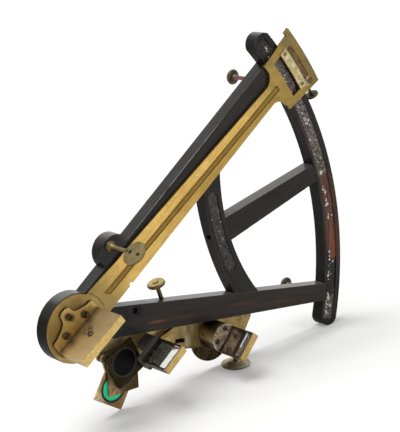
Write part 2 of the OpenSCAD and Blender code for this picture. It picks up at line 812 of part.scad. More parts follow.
module fore_thumbscrew() {
    color(brass) stand() at_fore_screw()
        rotate([-90, 0, 0]) {
            translate([0, 0, -fore_tip]) cylinder(d = thumb_stem_d, h = fore_tip + 16);
            translate([0, 0, 15.99]) thumb_head(fore_thumb_d, 6, 1);
        }
}

module back_stud() {
    color(brass) stand() on_mirror_limb() translate([back_pos, -back_off, 0]) {
        translate([0, 0, base_z]) cylinder(d = 7, h = base_t + 1);
        translate([0, 0, back_z]) cylinder(d = 10, h = frame_thick + 2);
    }
}

module back_turret() {
    color(dark_brass) stand()
        difference() {
            union() {
                on_mirror_limb()
                    translate([back_pos, -back_off, back_z + run_gap])
                        cylinder(d = turret_d, h = seat_z - back_z - run_gap);
                at_back_screw()
                    translate([8, -4, -lever_h / 2]) cube([back_screw_x - 4, 6, lever_h]);
            }
            on_mirror_limb()
                translate([back_pos, -back_off, back_z - 1])
                    cylinder(d = 10 + 2 * fit_gap, h = frame_thick + 3.4);
            at_back()
                for (s = [-1, 1])
                    translate([s * 9, 8, seat_z - 5]) cylinder(d = 3 + 2 * fit_gap, h = 6);
        }
}

module back_frame() {
    color(dark_brass) stand() at_back()
        difference() {
            union() {
                translate([0, 0, seat_z]) cylinder(d = turret_d + 0.4, h = seat_t);
                horizon_frame([[0, 0.585], [0.735, 1]]);
            }
            for (s = [-1, 1])
                translate([s * 9, 8, seat_z - 1]) cylinder(d = 3 + 2 * fit_gap, h = seat_t + 2);
        }
}

module back_glass() {
    color([0.42, 0.33, 0.27]) stand() at_back() horizon_glass();
}

module back_foot_screws() {
    color(brass) stand() at_back()
        for (s = [-1, 1])
            translate([s * 9, 8, seat_z + seat_t])
                rotate([0, 0, 40 * s]) slot_screw(6, 1.8, 3, seat_t + 4);
}

module back_post() {
    color(brass) stand() at_back_screw()
        difference() {
            translate([back_screw_x - 5.5, post_y, back_z - back_screw_z])
                cube([11, 10, back_screw_z - back_z + 5.5]);
            translate([back_screw_x, post_y - 2, 0]) rotate([-90, 0, 0])
                cylinder(d = thumb_stem_d + 2 * fit_gap, h = 14);
        }
}

module back_thumbscrew() {
    color(brass) stand() at_back_screw() translate([back_screw_x, 0, 0]) {
        translate([0, back_head_y + 5, 0]) rotate([-90, 0, 0])
            cylinder(d = thumb_stem_d, h = -back_head_y - 10);
        translate([0, back_head_y + 6, 0]) rotate([90, 0, 0]) thumb_head(back_thumb_d, 6);
    }
}

// Shades: three square frames that fan out about one pin

function shade_z(i) = pin_head_z - shade_gap - shade_t - i * (shade_t + shade_gap);

module shade_frame(i) {
    r = shade_reach[i];
    hole = [r[0] + hole_shift[i][0], hole_shift[i][1] - r[1], shade_z(i) - 1];
    far = norm(r) - shade_w * 0.42;
    at_shade(i)
        difference() {
            translate([0, 0, shade_z(i)])
                linear_extrude(shade_t)
                    union() {
                        translate([r[0] - shade_w / 2, -r[1] - shade_w / 2]) square(shade_w);
                        rotate(130) circle(r = 5.4);
                        rotate(-atan2(r[1], r[0])) translate([0, -4.4]) square([far, 8.8]);
                    }
            translate([0, 0, shade_z(i) - 1]) cylinder(d = shade_pin_d + 2 * fit_gap, h = shade_t + 2);
            translate(hole) cylinder(d = shade_hole_d, h = shade_t + 2);
            translate(hole) cylinder(d = shade_hole_d + 2.4, h = shade_t + 0.4);
        }
}

module shade_glass(i) {
    r = shade_reach[i];
    at_shade(i)
        translate([r[0] + hole_shift[i][0], hole_shift[i][1] - r[1], shade_z(i) + 0.2])
            cylinder(d = shade_hole_d + 2.4 - 2 * fit_gap, h = shade_t - 0.8);
}

module shade_pin() {
    color(brass) stand() on_mirror_limb() translate([shade_pos, -shade_off, 0]) {
        translate([0, 0, base_z]) cylinder(d = shade_pin_d, h = pin_head_z - base_z + 0.01);
        translate([0, 0, pin_head_z])
            rotate_extrude()
                polygon([[0, 0], [4.6, 0], [4.6, 1.6], [3.8, 2.4], [1.8, 2.8], [0, 2.8]]);
    }
}

module shade_spacer() {
    color(brass) stand() on_mirror_limb() translate([shade_pos, -shade_off, 0])
        difference() {
            translate([0, 0, back_z]) cylinder(d = shade_pin_d + 4.6, h = shade_z(2) - shade_gap - back_z);
            translate([0, 0, back_z - 1]) cylinder(d = shade_pin_d + 2 * fit_gap, h = frame_thick);
        }
}

module shade_front() {
    color(dark_brass) stand() shade_frame(0);
}

module shade_front_glass() {
    color([0.1, 0.09, 0.11]) stand() shade_glass(0);
}

module shade_middle() {
    color(dark_brass) stand() shade_frame(1);
}

module shade_middle_glass() {
    color([0.3, 0.05, 0.06]) stand() shade_glass(1);
}

module shade_rear() {
    color(dark_brass) stand() shade_frame(2);
}

module shade_rear_glass() {
    color([0.02, 0.55, 0.36]) stand() shade_glass(2);
}

mirror_limb();
sight_limb();
limb_arc();
curved_brace();
radial_strut();
index_arm();
pivot_arbor();
pivot_nut();
pivot_bush();
pivot_plate();
pivot_screws();
index_case();
index_glass();
bracket_screws();
tilt_screw();
case_screw();
vernier_plate();
vernier_screws();
tangent_lug();
tangent_rivet();
tangent_screw();
back_feet();
sight_vane();
sight_nut();
base_plate();
base_screws();
socket_block();
fore_stud();
fore_block();
fore_lever();
fore_frame();
fore_glass();
fore_thumbscrew();
back_stud();
back_turret();
back_frame();
back_glass();
back_foot_screws();
back_post();
back_thumbscrew();
shade_pin();
shade_spacer();
shade_front();
shade_front_glass();
shade_middle();
shade_middle_glass();
shade_rear();
shade_rear_glass();
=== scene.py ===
"""Octant of ebony and brass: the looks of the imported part."""

import math
from functools import reduce

import bmesh
import bpy
from mathutils import Matrix, Vector


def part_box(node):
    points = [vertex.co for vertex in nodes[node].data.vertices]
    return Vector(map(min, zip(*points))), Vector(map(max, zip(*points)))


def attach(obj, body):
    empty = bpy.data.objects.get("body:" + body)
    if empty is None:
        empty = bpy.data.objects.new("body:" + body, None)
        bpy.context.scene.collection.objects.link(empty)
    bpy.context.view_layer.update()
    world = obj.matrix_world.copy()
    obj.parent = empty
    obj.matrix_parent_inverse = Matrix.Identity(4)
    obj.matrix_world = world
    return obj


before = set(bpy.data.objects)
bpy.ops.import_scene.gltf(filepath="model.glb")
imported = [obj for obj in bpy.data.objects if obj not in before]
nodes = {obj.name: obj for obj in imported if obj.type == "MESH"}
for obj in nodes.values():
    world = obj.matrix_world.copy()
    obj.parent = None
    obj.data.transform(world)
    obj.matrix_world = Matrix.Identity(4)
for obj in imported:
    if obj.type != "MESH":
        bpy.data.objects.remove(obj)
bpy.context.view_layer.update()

# The frame's own plane: x along the middle of the frame, y to the sight limb, z to the front
PIVOT = Vector((-0.181, 0.00325, 0.1158))
FRAME_TURN = 12.6
MIRROR_LIMB = -23.5
SIGHT_LIMB = 22.9
ARM = 19.65
# Length of the limbs in metres, and half their width at the pivot and at the arc
LIMB_LONG = 0.376
LIMB_HALF = (0.0185, 0.0107)
# Places on the mirror limb, in mm along it and out from it, and the turn there in degrees
FORE = (97.6, -33.9, 44.8)
BACK = (204.7, -34.2, 56.5)
# The horizon glasses, in mm: foot, height, half the width of their silvering and its two faces
GLASS_FOOT = 10.2
GLASS_HIGH = 36.0
SHEET_HALF = 14.6
SHEET_FACES = (-5.115, -5.165)
# Fronts of the arm's end plate and of the base plate, in mm from the front of the wood
ARM_Z = 3.3
PLATE_Z = -16
# The recesses of arc and brace: depth in metres, and where flakes lie in them, in mm
RECESS = 0.0015
RECESS_Z = -1.45
# Middle radius of the arc, in metres
ARC_R = 0.39


def place(x, y, z):
    """A point given in mm in the frame's own plane, in the row frame in metres."""
    a = math.radians(FRAME_TURN)
    flat = Vector((x * math.cos(a) - y * math.sin(a), -z, x * math.sin(a) + y * math.cos(a)))
    return PIVOT + flat * 0.001


def along(angle, x, y, z):
    """A point given along a limb at that angle, in mm."""
    a = math.radians(angle)
    return place(x * math.cos(a) - y * math.sin(a), x * math.sin(a) + y * math.cos(a), z)


def on_mirror(seat, x, y, z):
    """A point given across, out of and up a horizon mirror, in mm."""
    a = math.radians(seat[2])
    return along(MIRROR_LIMB, seat[0] + x * math.cos(a) - y * math.sin(a),
                 seat[1] + x * math.sin(a) + y * math.cos(a), z)


FLOAT = "NodeSocketFloat"
VECTOR = "NodeSocketVector"
GEOMETRY = "NodeSocketGeometry"


class Net:
    """Adds nodes to one tree and joins them."""

    def __init__(self, tree):
        self.tree = tree

    def add(self, kind, values=None, **settings):
        made = self.tree.nodes.new(kind)
        for key, value in settings.items():
            setattr(made, key, value)
        for key, value in (values or {}).items():
            self.put(made.inputs[key], value)
        return made

    def put(self, socket, value):
        """Links a value to a socket or sets it there. Colours are red, green and blue."""
        if isinstance(value, bpy.types.NodeSocket):
            self.tree.links.new(value, socket)
        elif socket.type == "RGBA":
            socket.default_value = (*value, 1)
        else:
            socket.default_value = value

    def math(self, kind, a, b=0, clamp=False):
        return self.add("ShaderNodeMath", {0: a, 1: b}, operation=kind, use_clamp=clamp).outputs[0]

    def times(self, a, b):
        return self.math("MULTIPLY", a, b)

    def plus(self, a, b, clamp=False):
        return self.math("ADD", a, b, clamp)

    def minus(self, a, b):
        return self.math("SUBTRACT", a, b)

    def length(self, a, b):
        return self.math("SQRT", self.plus(self.times(a, a), self.times(b, b)))

    def span(self, value, low, high, start=0, end=1):
        """From start to end while the value runs from low to high, and level beyond."""
        return self.add("ShaderNodeMapRange", {0: value, 1: low, 2: high, 3: start, 4: end}).outputs[0]

    def band(self, value, low, high, soft):
        """1 from low to high, falling to 0 over soft on both sides."""
        rise = self.span(value, low - soft, low + soft)
        return self.times(rise, self.span(value, high - soft, high + soft, 1, 0))

    def mix(self, factor, a, b):
        return self.add("ShaderNodeMix", {0: factor, 6: a, 7: b}, data_type="RGBA").outputs[2]

    def lay(self, colour, mask, tone, amount):
        """A tone over a colour, by that amount where the mask is 1."""
        return self.mix(self.times(mask, amount), colour, tone)

    def noise(self, vector, scale, detail=4, rough=0.55, bend=0):
        values = {"Vector": vector, "Scale": scale, "Detail": detail, "Roughness": rough, "Distortion": bend}
        return self.add("ShaderNodeTexNoise", values).outputs["Fac"]

    def stretch(self, vector, scale, turn=(0, 0, 0), shift=(0, 0, 0)):
        turn = [math.radians(t) for t in turn]
        values = {"Vector": vector, "Scale": scale, "Location": shift, "Rotation": turn}
        return self.add("ShaderNodeMapping", values).outputs[0]

    def facing(self):
        return self.add("ShaderNodeNewGeometry").outputs["Normal"]

    def normal(self, letter):
        return self.axis(self.facing(), letter)

    def axis(self, vector, letter):
        return self.add("ShaderNodeSeparateXYZ", {0: vector}).outputs[letter]

    def xyz(self, x, y, z):
        return self.add("ShaderNodeCombineXYZ", {0: x, 1: y, 2: z}).outputs[0]

    def draw(self, low, high, seed):
        """A random value for each point."""
        values = {2: low, 3: high, "Seed": seed}
        return self.add("FunctionNodeRandomValue", values, data_type="FLOAT").outputs[1]

    def vector(self, kind, a, b):
        return self.add("ShaderNodeVectorMath", {0: a, 1: b}, operation=kind).outputs

    def dot(self, vector, way):
        return self.vector("DOT_PRODUCT", vector, way)["Value"]

    def across(self, here, angle):
        """How far along a limb at that angle, and across it, in metres."""
        a = math.radians(angle + FRAME_TURN)
        arm = self.vector("SUBTRACT", here, PIVOT)[0]
        return self.dot(arm, (math.cos(a), 0, math.sin(a))), self.dot(arm, (-math.sin(a), 0, math.cos(a)))

    def polar(self, here):
        """Radius in metres, degrees from the frame's middle, and a vector that runs along the arc."""
        u, v = self.across(here, 0)
        radius = self.length(u, v)
        turn = self.math("ARCTAN2", v, u)
        way = self.xyz(self.times(turn, ARC_R), self.axis(here, "Y"), radius)
        return radius, self.times(turn, 180 / math.pi), way

    def near(self, vector, centre, inner, outer):
        """1 within inner of a point, 0 beyond outer, in metres."""
        return self.span(self.vector("DISTANCE", vector, centre)["Value"], inner, outer, 1, 0)

    def both(self, *masks):
        return reduce(lambda a, b: self.math("MULTIPLY", a, b, True), masks)

    def either(self, *masks):
        return reduce(lambda a, b: self.math("MAXIMUM", a, b), masks)

    def use(self, group, values):
        return self.add("ShaderNodeGroup", values, node_tree=group).outputs


def new_group(name, takes, gives, family="Shader", given_kind=FLOAT):
    """An empty node group with named inputs and outputs."""
    tree = bpy.data.node_groups.new(name, family + "NodeTree")
    for label, kind, *value in takes:
        socket = tree.interface.new_socket(name=label, in_out="INPUT", socket_type=kind)
        if value:
            socket.default_value = value[0]
    for label in gives:
        tree.interface.new_socket(name=label, in_out="OUTPUT", socket_type=given_kind)
    net = Net(tree)
    given = net.add("NodeGroupInput").outputs
    out = net.add("NodeGroupOutput").inputs
    return tree, net, given, out


def make_edge_wear_and_shade():
    """First output: corners rubbed bright, which is wear and also a painted highlight. Second output: corners
    where dirt gathers, which is dirt and also painted shade from ambient occlusion.
    """
    takes = [("Vector", VECTOR), ("Radius", FLOAT, 0.001), ("Reach", FLOAT, 0.004)]
    tree, net, given, out = new_group("edge wear and painted shade", takes, ["Edge", "GrimeAndShade"])
    rounded = net.add("ShaderNodeBevel", {"Radius": given["Radius"]}, samples=6).outputs[0]
    turned = net.dot(rounded, net.facing())
    patchy = net.span(net.noise(given["Vector"], 160, 5, 0.65), 0.35, 0.62)
    open_air = net.add("ShaderNodeAmbientOcclusion", {"Distance": given["Reach"]}, samples=8).outputs["AO"]
    edge = net.both(net.span(turned, 0.985, 0.8), patchy)
    net.put(out["Edge"], net.both(edge, net.span(open_air, 0.75, 0.95)))
    blotch = net.span(net.noise(given["Vector"], 300, 3), 0.25, 0.6, 0.6, 1)
    net.put(out["GrimeAndShade"], net.both(net.span(open_air, 0.9, 0.45), blotch))
    return tree


def make_wood_grain():
    """The vector's x runs along the grain."""
    gives = ["Streaks", "Pores", "Mottle", "Scuffs"]
    tree, net, given, out = new_group("wood grain", [("Vector", VECTOR)], gives)
    along_grain = net.stretch(given["Vector"], (9, 150, 150))
    net.put(out["Streaks"], net.span(net.noise(along_grain, 1, 5, 0.6, 0.4), 0.3, 0.7))
    fine = net.stretch(given["Vector"], (45, 1300, 1300))
    net.put(out["Pores"], net.span(net.noise(fine, 1, 2, 0.5), 0.58, 0.72))
    net.put(out["Mottle"], net.noise(given["Vector"], 28, 5, 0.6, 0.6))
    crossed = net.stretch(given["Vector"], (60, 900, 420), (9, 38, 14))
    net.put(out["Scuffs"], net.span(net.noise(crossed, 1, 2, 0.5), 0.68, 0.76))
    return tree


def make_patina():
    """Age on brass: clouds of tarnish, dark specks and fine scratches."""
    takes = [("Vector", VECTOR), ("Scale", FLOAT, 1)]
    tree, net, given, out = new_group("patina", takes, ["Cloud", "Specks", "Scratches", "Stain"])
    sized = net.add("ShaderNodeVectorMath", {0: given["Vector"], "Scale": given["Scale"]},
                    operation="SCALE").outputs[0]
    net.put(out["Cloud"], net.span(net.noise(sized, 55, 6, 0.62, 0.5), 0.32, 0.68))
    net.put(out["Specks"], net.span(net.noise(sized, 620, 3, 0.6), 0.6, 0.72))
    net.put(out["Stain"], net.span(net.noise(sized, 130, 6, 0.7, 1.2), 0.52, 0.7))
    one = net.noise(net.stretch(sized, (70, 1500, 1500), (0, 41, 0)), 1, 2)
    two = net.noise(net.stretch(sized, (90, 1700, 1700), (0, -33, 0), (0.3, 0.1, 0.2)), 1, 2)
    net.put(out["Scratches"], net.span(net.math("MAXIMUM", one, two), 0.64, 0.74))
    return tree


EDGE_WEAR_AND_SHADE = make_edge_wear_and_shade()
WOOD_GRAIN = make_wood_grain()
PATINA = make_patina()


def new_material(name):
    """A material with its net, the sockets of its shader, and the place on the object."""
    material = bpy.data.materials.new(name)
    material.use_nodes = True
    tree = material.node_tree
    tree.nodes.clear()
    net = Net(tree)
    skin = net.add("ShaderNodeBsdfPrincipled")
    end = net.add("ShaderNodeOutputMaterial")
    tree.links.new(skin.outputs[0], end.inputs["Surface"])
    return material, net, skin.inputs, net.add("ShaderNodeTexCoord").outputs["Object"]


def dress(net, skin, colour, rough, height, strength, distance):
    """Sets a shader's colour, roughness and relief."""
    net.put(skin["Base Color"], colour)
    net.put(skin["Roughness"], rough)
    relief = {"Height": height, "Strength": strength, "Distance": distance}
    net.put(skin["Normal"], net.add("ShaderNodeBump", relief).outputs[0])


def ebony(name, grain, paint=None):
    """Blackened hardwood, grain along that angle in the frame. paint adds what is special to one piece."""
    material, net, skin, here = new_material(name)
    run = net.stretch(here, (1, 1, 1), (0, grain + FRAME_TURN, 0))
    wood = net.use(WOOD_GRAIN, {"Vector": run})
    worn = net.use(EDGE_WEAR_AND_SHADE, {"Vector": here, "Radius": 0.0016, "Reach": 0.006})
    front = net.span(net.normal("Y"), -0.4, -0.8)
    colour = net.mix(wood["Streaks"], (0.0075, 0.0075, 0.0075), (0.03, 0.026, 0.0225))
    colour = net.mix(net.span(wood["Mottle"], 0.5, 0.72, 0, 0.65), colour, (0.04, 0.024, 0.0175))
    colour = net.lay(colour, wood["Scuffs"], (0.11, 0.1, 0.09), 0.35)
    rough = net.span(wood["Mottle"], 0.3, 0.7, 0.32, 0.5)
    height = net.minus(net.times(wood["Streaks"], 0.5), wood["Pores"])
    if paint:
        colour, rough, height = paint(net, here, wood, front, colour, rough, height)
    # Rubbed edges made lighter: wear, and also a painted highlight.
    colour = net.lay(colour, worn["Edge"], (0.16, 0.135, 0.115), 0.6)
    upward = net.normal("Z")
    # Upward faces greyed: dust, and also a painted sheen where the light from above falls.
    dust = net.both(net.span(upward, 0.84, 0.97), net.span(wood["Mottle"], 0.3, 0.6, 0.55, 1))
    colour = net.mix(dust, colour, (0.125, 0.119, 0.11))
    dress(net, skin, colour, rough, height, 0.35, 0.00012)
    skin["Specular IOR Level"].default_value = 0.04
    polish = net.either(net.times(front, 0.35), net.span(upward, 0.45, 0.95, 0.02, 0.8))
    net.put(skin["Coat Weight"], net.times(polish, net.span(wood["Mottle"], 0.3, 0.65, 1, 0.65)))
    skin["Coat Roughness"].default_value = 0.24
    return material


def ruddy_limb(net, here, wood, front, colour, rough, height):
    """Where the black has worn off the mirror limb in reddish streaks, with painted shade on the sides of its
    head and round the mouth of its spare socket.
    """
    u, v = net.across(here, MIRROR_LIMB)
    brown = net.both(front, net.span(wood["Streaks"], 0.2, 0.8, 0.25, 0.8), net.span(u, 0.06, 0.12))
    colour = net.mix(brown, colour, (0.044, 0.03, 0.022))
    blue = net.both(front, net.near(here, along(MIRROR_LIMB, 62, -8, 0), 0.008, 0.03),
                    net.span(wood["Mottle"], 0.3, 0.6))
    colour = net.mix(blue, colour, (0.01, 0.0115, 0.017))
    # Painted shade: the sides of the head, which do not face the front, are made nearly black.
    head = net.both(net.span(front, 0.6, 0.2), net.span(u, 0.02, 0))
    colour = net.lay(colour, head, (0.004, 0.0042, 0.004), 0.8)
    for far, off, long, wide, amount in (
            (0.111, -0.006, 0.017, 0.0021, 0.9), (0.15, -0.004, 0.03, 0.005, 0.12),
            (0.236, 0, 0.03, 0.0035, 0.3), (0.3, -0.003, 0.04, 0.004, 0.15)):
        u2 = net.times(net.minus(u, far), 1 / long)
        v2 = net.times(net.minus(v, off), 1 / wide)
        gone = net.length(u2, v2)
        patch = net.both(net.span(gone, 1, 0.3), net.span(wood["Streaks"], 0.2, 0.5, 0.4, 1),
                         front, amount)
        colour = net.mix(patch, colour, (0.24, 0.075, 0.035))
    # Painted shade round the mouth of the spare socket.
    mouth = net.near(here, along(MIRROR_LIMB, 81.5, 9.5, 0), 0.0046, 0.0075)
    return net.mix(mouth, colour, (0.003, 0.003, 0.003)), rough, height


def worn_sight(net, here, wood, front, colour, rough, height):
    """The sight limb, rubbed grey along its front, and pale along its upper arris: wear, and also a painted
    highlight.
    """
    grey = net.both(front, net.span(wood["Streaks"], 0.2, 0.8, 0.3, 0.85))
    colour = net.mix(grey, colour, (0.036, 0.033, 0.03))
    u, v = net.across(here, SIGHT_LIMB)
    inset = net.minus(v, net.span(u, 0, LIMB_LONG, *LIMB_HALF))
    depth = net.minus(net.axis(here, "Y"), PIVOT.y)
    # Wear and a painted highlight: a pale line along the upper arris of the front.
    arris = net.both(net.span(inset, -0.0009, -0.0005), net.span(depth, 0.0008, 0.0005),
                     net.band(u, 0.12, 0.28, 0.02),
                     net.span(net.noise(here, 70, 5, 0.7), 0.36, 0.52, 0.2, 0.9))
    return net.mix(arris, colour, (0.3, 0.295, 0.285)), rough, height


def block_painted_light(net, here, wood, front, colour, rough, height):
    """The mirror's block, painted a lighter grey as if lit, where it stands in shade."""
    grey = net.span(wood["Mottle"], 0.3, 0.65, 0.6, 1)
    return net.mix(grey, colour, (0.15, 0.153, 0.155)), rough, height


def recess_floor(net, here):
    """The floor of a recess, below the front of the wood."""
    depth = net.minus(net.axis(here, "Y"), PIVOT.y + RECESS)
    return net.math("LESS_THAN", net.math("ABSOLUTE", depth), 0.0003)


def empty_arc(net, here, wood, front, colour, rough, height):
    """The arc where its scale is gone: glue at both ends, bare reddish wood between, black below."""
    radius, turn, way = net.polar(here)
    floor = net.both(recess_floor(net, here), net.span(radius, 0.3783, 0.3793))
    lumps = net.noise(here, 380, 6, 0.72, 1)
    streaks = net.noise(net.stretch(way, (25, 1, 330)), 1, 5, 0.6, 0.6)
    wander = net.plus(turn, net.span(net.noise(here, 45, 3), 0.3, 0.7, -1.6, 1.6))
    glue = net.mix(net.span(lumps, 0.41, 0.6), (0.022, 0.017, 0.016), (0.36, 0.3, 0.28))
    olive = net.mix(net.span(lumps, 0.41, 0.58), (0.02, 0.015, 0.011), (0.3, 0.255, 0.19))
    glue = net.mix(net.span(wander, 7, 4), glue, olive)
    bare = net.mix(net.span(streaks, 0.34, 0.66), (0.06, 0.03, 0.021), (0.25, 0.118, 0.083))
    black = net.mix(net.span(lumps, 0.45, 0.68), (0.01, 0.0085, 0.008), (0.06, 0.05, 0.045))
    paint = net.mix(net.span(wander, -1, -2.6), glue, bare)
    inside = net.span(radius, 0.3865, 0.3835)
    low = net.either(net.span(wander, -17, -18.2), net.both(inside, net.span(wander, -14, -16)))
    paint = net.mix(low, paint, black)
    paint = net.mix(net.span(wander, -23.4, -24.8), paint, glue)
    paint = net.lay(paint, net.span(wander, 24, 25.2), black, 0.85)
    orange = net.both(net.band(wander, -17.6, -10.5, 1), net.span(radius, 0.3805, 0.385),
                      net.span(streaks, 0.32, 0.56))
    paint = net.lay(paint, orange, (0.33, 0.098, 0.045), 0.95)
    margin = net.both(front, net.span(radius, 0.3925, 0.3932), net.band(wander, -19, -3, 2),
                      net.span(streaks, 0.35, 0.62))
    colour = net.lay(colour, margin, (0.15, 0.055, 0.03), 0.8)
    parts = net.either(net.band(wander, 5, 10, 1.5), net.both(net.band(wander, -12, -5, 2), 0.6))
    inner = net.both(front, net.span(radius, 0.3785, 0.3765), net.span(streaks, 0.34, 0.56), parts)
    colour = net.lay(colour, inner, (0.17, 0.056, 0.034), 0.85)
    colour = net.mix(floor, colour, paint)
    rough = net.plus(rough, net.times(floor, 0.15), True)
    return colour, rough, net.plus(height, net.times(floor, net.times(lumps, 4)))


def empty_brace(net, here, wood, front, colour, rough, height):
    """Grey glue where the brace has lost its plate."""
    floor = recess_floor(net, here)
    lumps = net.noise(here, 230, 6, 0.7, 0.8)
    paint = net.mix(net.span(lumps, 0.36, 0.66), (0.022, 0.021, 0.02), (0.13, 0.125, 0.118))
    colour = net.mix(floor, colour, paint)
    rough = net.plus(rough, net.times(floor, 0.2), True)
    return colour, rough, net.plus(height, net.times(floor, net.times(lumps, 3)))


def brass(name, light, dark, rough=0.36, tarnish=0.5, grime_and_shade=0.85, edge=0.5, scale=1, marks=None):
    """Aged brass between two tones. marks adds what is special to one piece."""
    material, net, skin, here = new_material(name)
    age = net.use(PATINA, {"Vector": here, "Scale": scale})
    worn = net.use(EDGE_WEAR_AND_SHADE, {"Vector": here, "Radius": 0.0006, "Reach": 0.0035})
    colour = net.mix(age["Cloud"], light, dark)
    brown = (dark[0] * 0.5, dark[1] * 0.43, dark[2] * 0.38)
    if marks:
        colour = marks(net, here, colour)
    colour = net.lay(colour, age["Stain"], brown, tarnish)
    colour = net.lay(colour, age["Specks"], brown, 0.55)
    colour = net.lay(colour, age["Scratches"], light, 0.3)
    # Rubbed edges made lighter: wear, and also a painted highlight. Corners and hollows made dark: grime, and
    # also painted shade.
    colour = net.lay(colour, worn["Edge"], (0.8, 0.62, 0.32), edge)
    colour = net.lay(colour, worn["GrimeAndShade"], (0.022, 0.016, 0.011), grime_and_shade)
    net.put(skin["Metallic"], net.span(worn["GrimeAndShade"], 0, 1, 1, 0.3))
    rough = net.plus(net.times(age["Cloud"], 0.14), rough)
    rough = net.plus(rough, net.times(age["Stain"], 0.12), True)
    height = net.minus(net.times(age["Cloud"], 0.6), age["Scratches"])
    dress(net, skin, colour, rough, height, 0.25, 0.00008)
    return material


def arm_marks(net, here, colour):
    """The arm: filed along its length, bright on the upper flat, browner in its groove and sunk band, with
    painted shade on its lower flat, its side walls, along the groove and at the rim of the pivot disc.
    """
    u, v = net.across(here, ARM)
    depth = net.axis(here, "Y")
    facing = net.span(net.normal("Y"), -0.55, -0.85)
    run = net.stretch(here, (1, 1, 1), (0, ARM + FRAME_TURN, 0))
    filed = net.noise(net.stretch(run, (14, 900, 900)), 1, 3, 0.6)
    colour = net.mix(net.span(filed, 0.35, 0.66, 0, 0.55), colour, (0.45, 0.26, 0.05))
    # Painted shade: the lower flat is darkened.
    lower_flat_shade = net.both(net.span(v, -0.0042, -0.0047), net.span(u, 0.05, 0.06))
    colour = net.mix(net.times(lower_flat_shade, net.span(u, 0.14, 0.22, 0.2, 0.9)), colour, (0.42, 0.27, 0.065))
    scribed = net.plus(v, net.span(u, 0.13, 0.26, 0.0069, 0.0084))
    scribed = net.both(net.band(scribed, -0.0002, 0.0002, 0.0003), net.band(u, 0.07, 0.33, 0.01))
    colour = net.lay(colour, scribed, (0.2, 0.12, 0.025), 0.5)
    stain = net.noise(here, 150, 5, 0.65, 0.8)
    cloud = net.span(net.noise(here, 42, 5, 0.6, 0.6), 0.34, 0.66)
    plate = net.mix(cloud, (0.4, 0.285, 0.075), (0.22, 0.16, 0.05))
    plate = net.mix(net.span(net.plus(u, net.times(cloud, 0.006)), 0.398, 0.408, 0, 0.85), plate,
                    (0.14, 0.113, 0.05))
    plate = net.mix(net.span(stain, 0.5, 0.64, 0, 0.6), plate, (0.3, 0.17, 0.04))
    colour = net.mix(net.span(u, 0.3, 0.366, 0, 0.9), colour, plate)
    smear = net.both(net.near(here, along(ARM, 405.5, -25.5, ARM_Z), 0.002, 0.008),
                     net.span(stain, 0.42, 0.56))
    colour = net.lay(colour, smear, (0.74, 0.6, 0.44), 0.7)
    ring = net.near(here, along(ARM, 410.3, -28.8, ARM_Z), 0.0033, 0.0044)
    colour = net.lay(colour, ring, (0.075, 0.04, 0.02), 0.8)
    root = net.mix(cloud, (0.38, 0.27, 0.092), (0.22, 0.16, 0.06))
    colour = net.mix(net.span(u, 0.085, 0.05, 0, 0.9), colour, root)
    far = net.length(u, v)
    # Painted shade, with some dirt: a grey ring at the rim of the pivot disc.
    collar = net.both(net.band(far, 0.0385, 0.0405, 0.0012), net.span(u, 0.028, 0.034),
                      net.span(v, -0.012, -0.006))
    colour = net.lay(colour, collar, (0.085, 0.08, 0.055), 0.75)
    sunk = net.both(net.span(depth, 0.0002, 0.0005), facing)
    # Painted shade across the groove: its floor darkens towards the left wall, with a dark line along that
    # wall.
    groove = net.mix(net.span(v, 0.0016, -0.0042), (0.2, 0.11, 0.022), (0.36, 0.235, 0.06))
    groove = net.mix(net.span(filed, 0.4, 0.66, 0, 0.5), groove, (0.2, 0.115, 0.024))
    groove = net.mix(net.span(v, 0.001, 0.0022), groove, (0.05, 0.027, 0.007))
    band = net.mix(net.span(stain, 0.36, 0.64), (0.085, 0.05, 0.026), (0.2, 0.125, 0.062))
    groove = net.mix(net.span(u, 0.372, 0.378), groove, band)
    colour = net.mix(sunk, colour, groove)
    # Painted shade: faces that do not face the front are darkened.
    return net.mix(net.minus(0.7, net.times(facing, 0.7)), colour, (0.1, 0.058, 0.014))


def case_marks(net, here, colour):
    """The index case: golden foot and top edge, a browner back that is darker towards the arm, and painted
    shade on the foot's side walls.
    """
    u, _ = net.across(here, ARM)
    foot = net.span(net.axis(here, "Y"), -0.0029, -0.0025)
    facing = net.span(net.normal("Y"), -0.5, -0.75)
    colour = net.mix(net.span(u, -0.022, 0.03, 0, 0.6), colour, (0.16, 0.118, 0.07))
    brushed = net.noise(net.stretch(here, (500, 30, 500), (0, ARM + FRAME_TURN, 0)), 1, 4, 0.6)
    colour = net.mix(net.span(brushed, 0.4, 0.7, 0, 0.3), colour, (0.15, 0.107, 0.056))
    colour = net.mix(net.span(net.axis(here, "Y"), -0.014, -0.004, 0, 0.55), colour, (0.11, 0.072, 0.035))
    smudge = net.span(net.noise(here, 210, 4, 0.6, 1.5), 0.36, 0.5)
    bloom = net.both(net.near(here, along(ARM, 3.5, 0, 19.5), 0.0025, 0.008), smudge)
    colour = net.lay(colour, bloom, (0.045, 0.028, 0.028), 0.9)
    speckle = net.span(net.noise(here, 480, 4, 0.7), 0.36, 0.64)
    gold = net.mix(speckle, (0.8, 0.57, 0.22), (0.58, 0.4, 0.14))
    colour = net.mix(facing, colour, gold)
    foot_gold = net.mix(net.span(net.noise(here, 90), 0.3, 0.7), (0.8, 0.57, 0.21), (0.52, 0.36, 0.12))
    for far, off in ((-13, 4.5), (17, 4.5), (2.5, 16.8)):
        ring = net.near(here, along(ARM, far, off, 5.5), 0.0036, 0.0046)
        foot_gold = net.lay(foot_gold, ring, (0.06, 0.04, 0.016), 0.8)
    # Painted shade: the foot's side walls, which do not face the front, are made nearly black.
    foot_gold = net.mix(facing, (0.03, 0.021, 0.011), foot_gold)
    return net.mix(foot, colour, foot_gold)


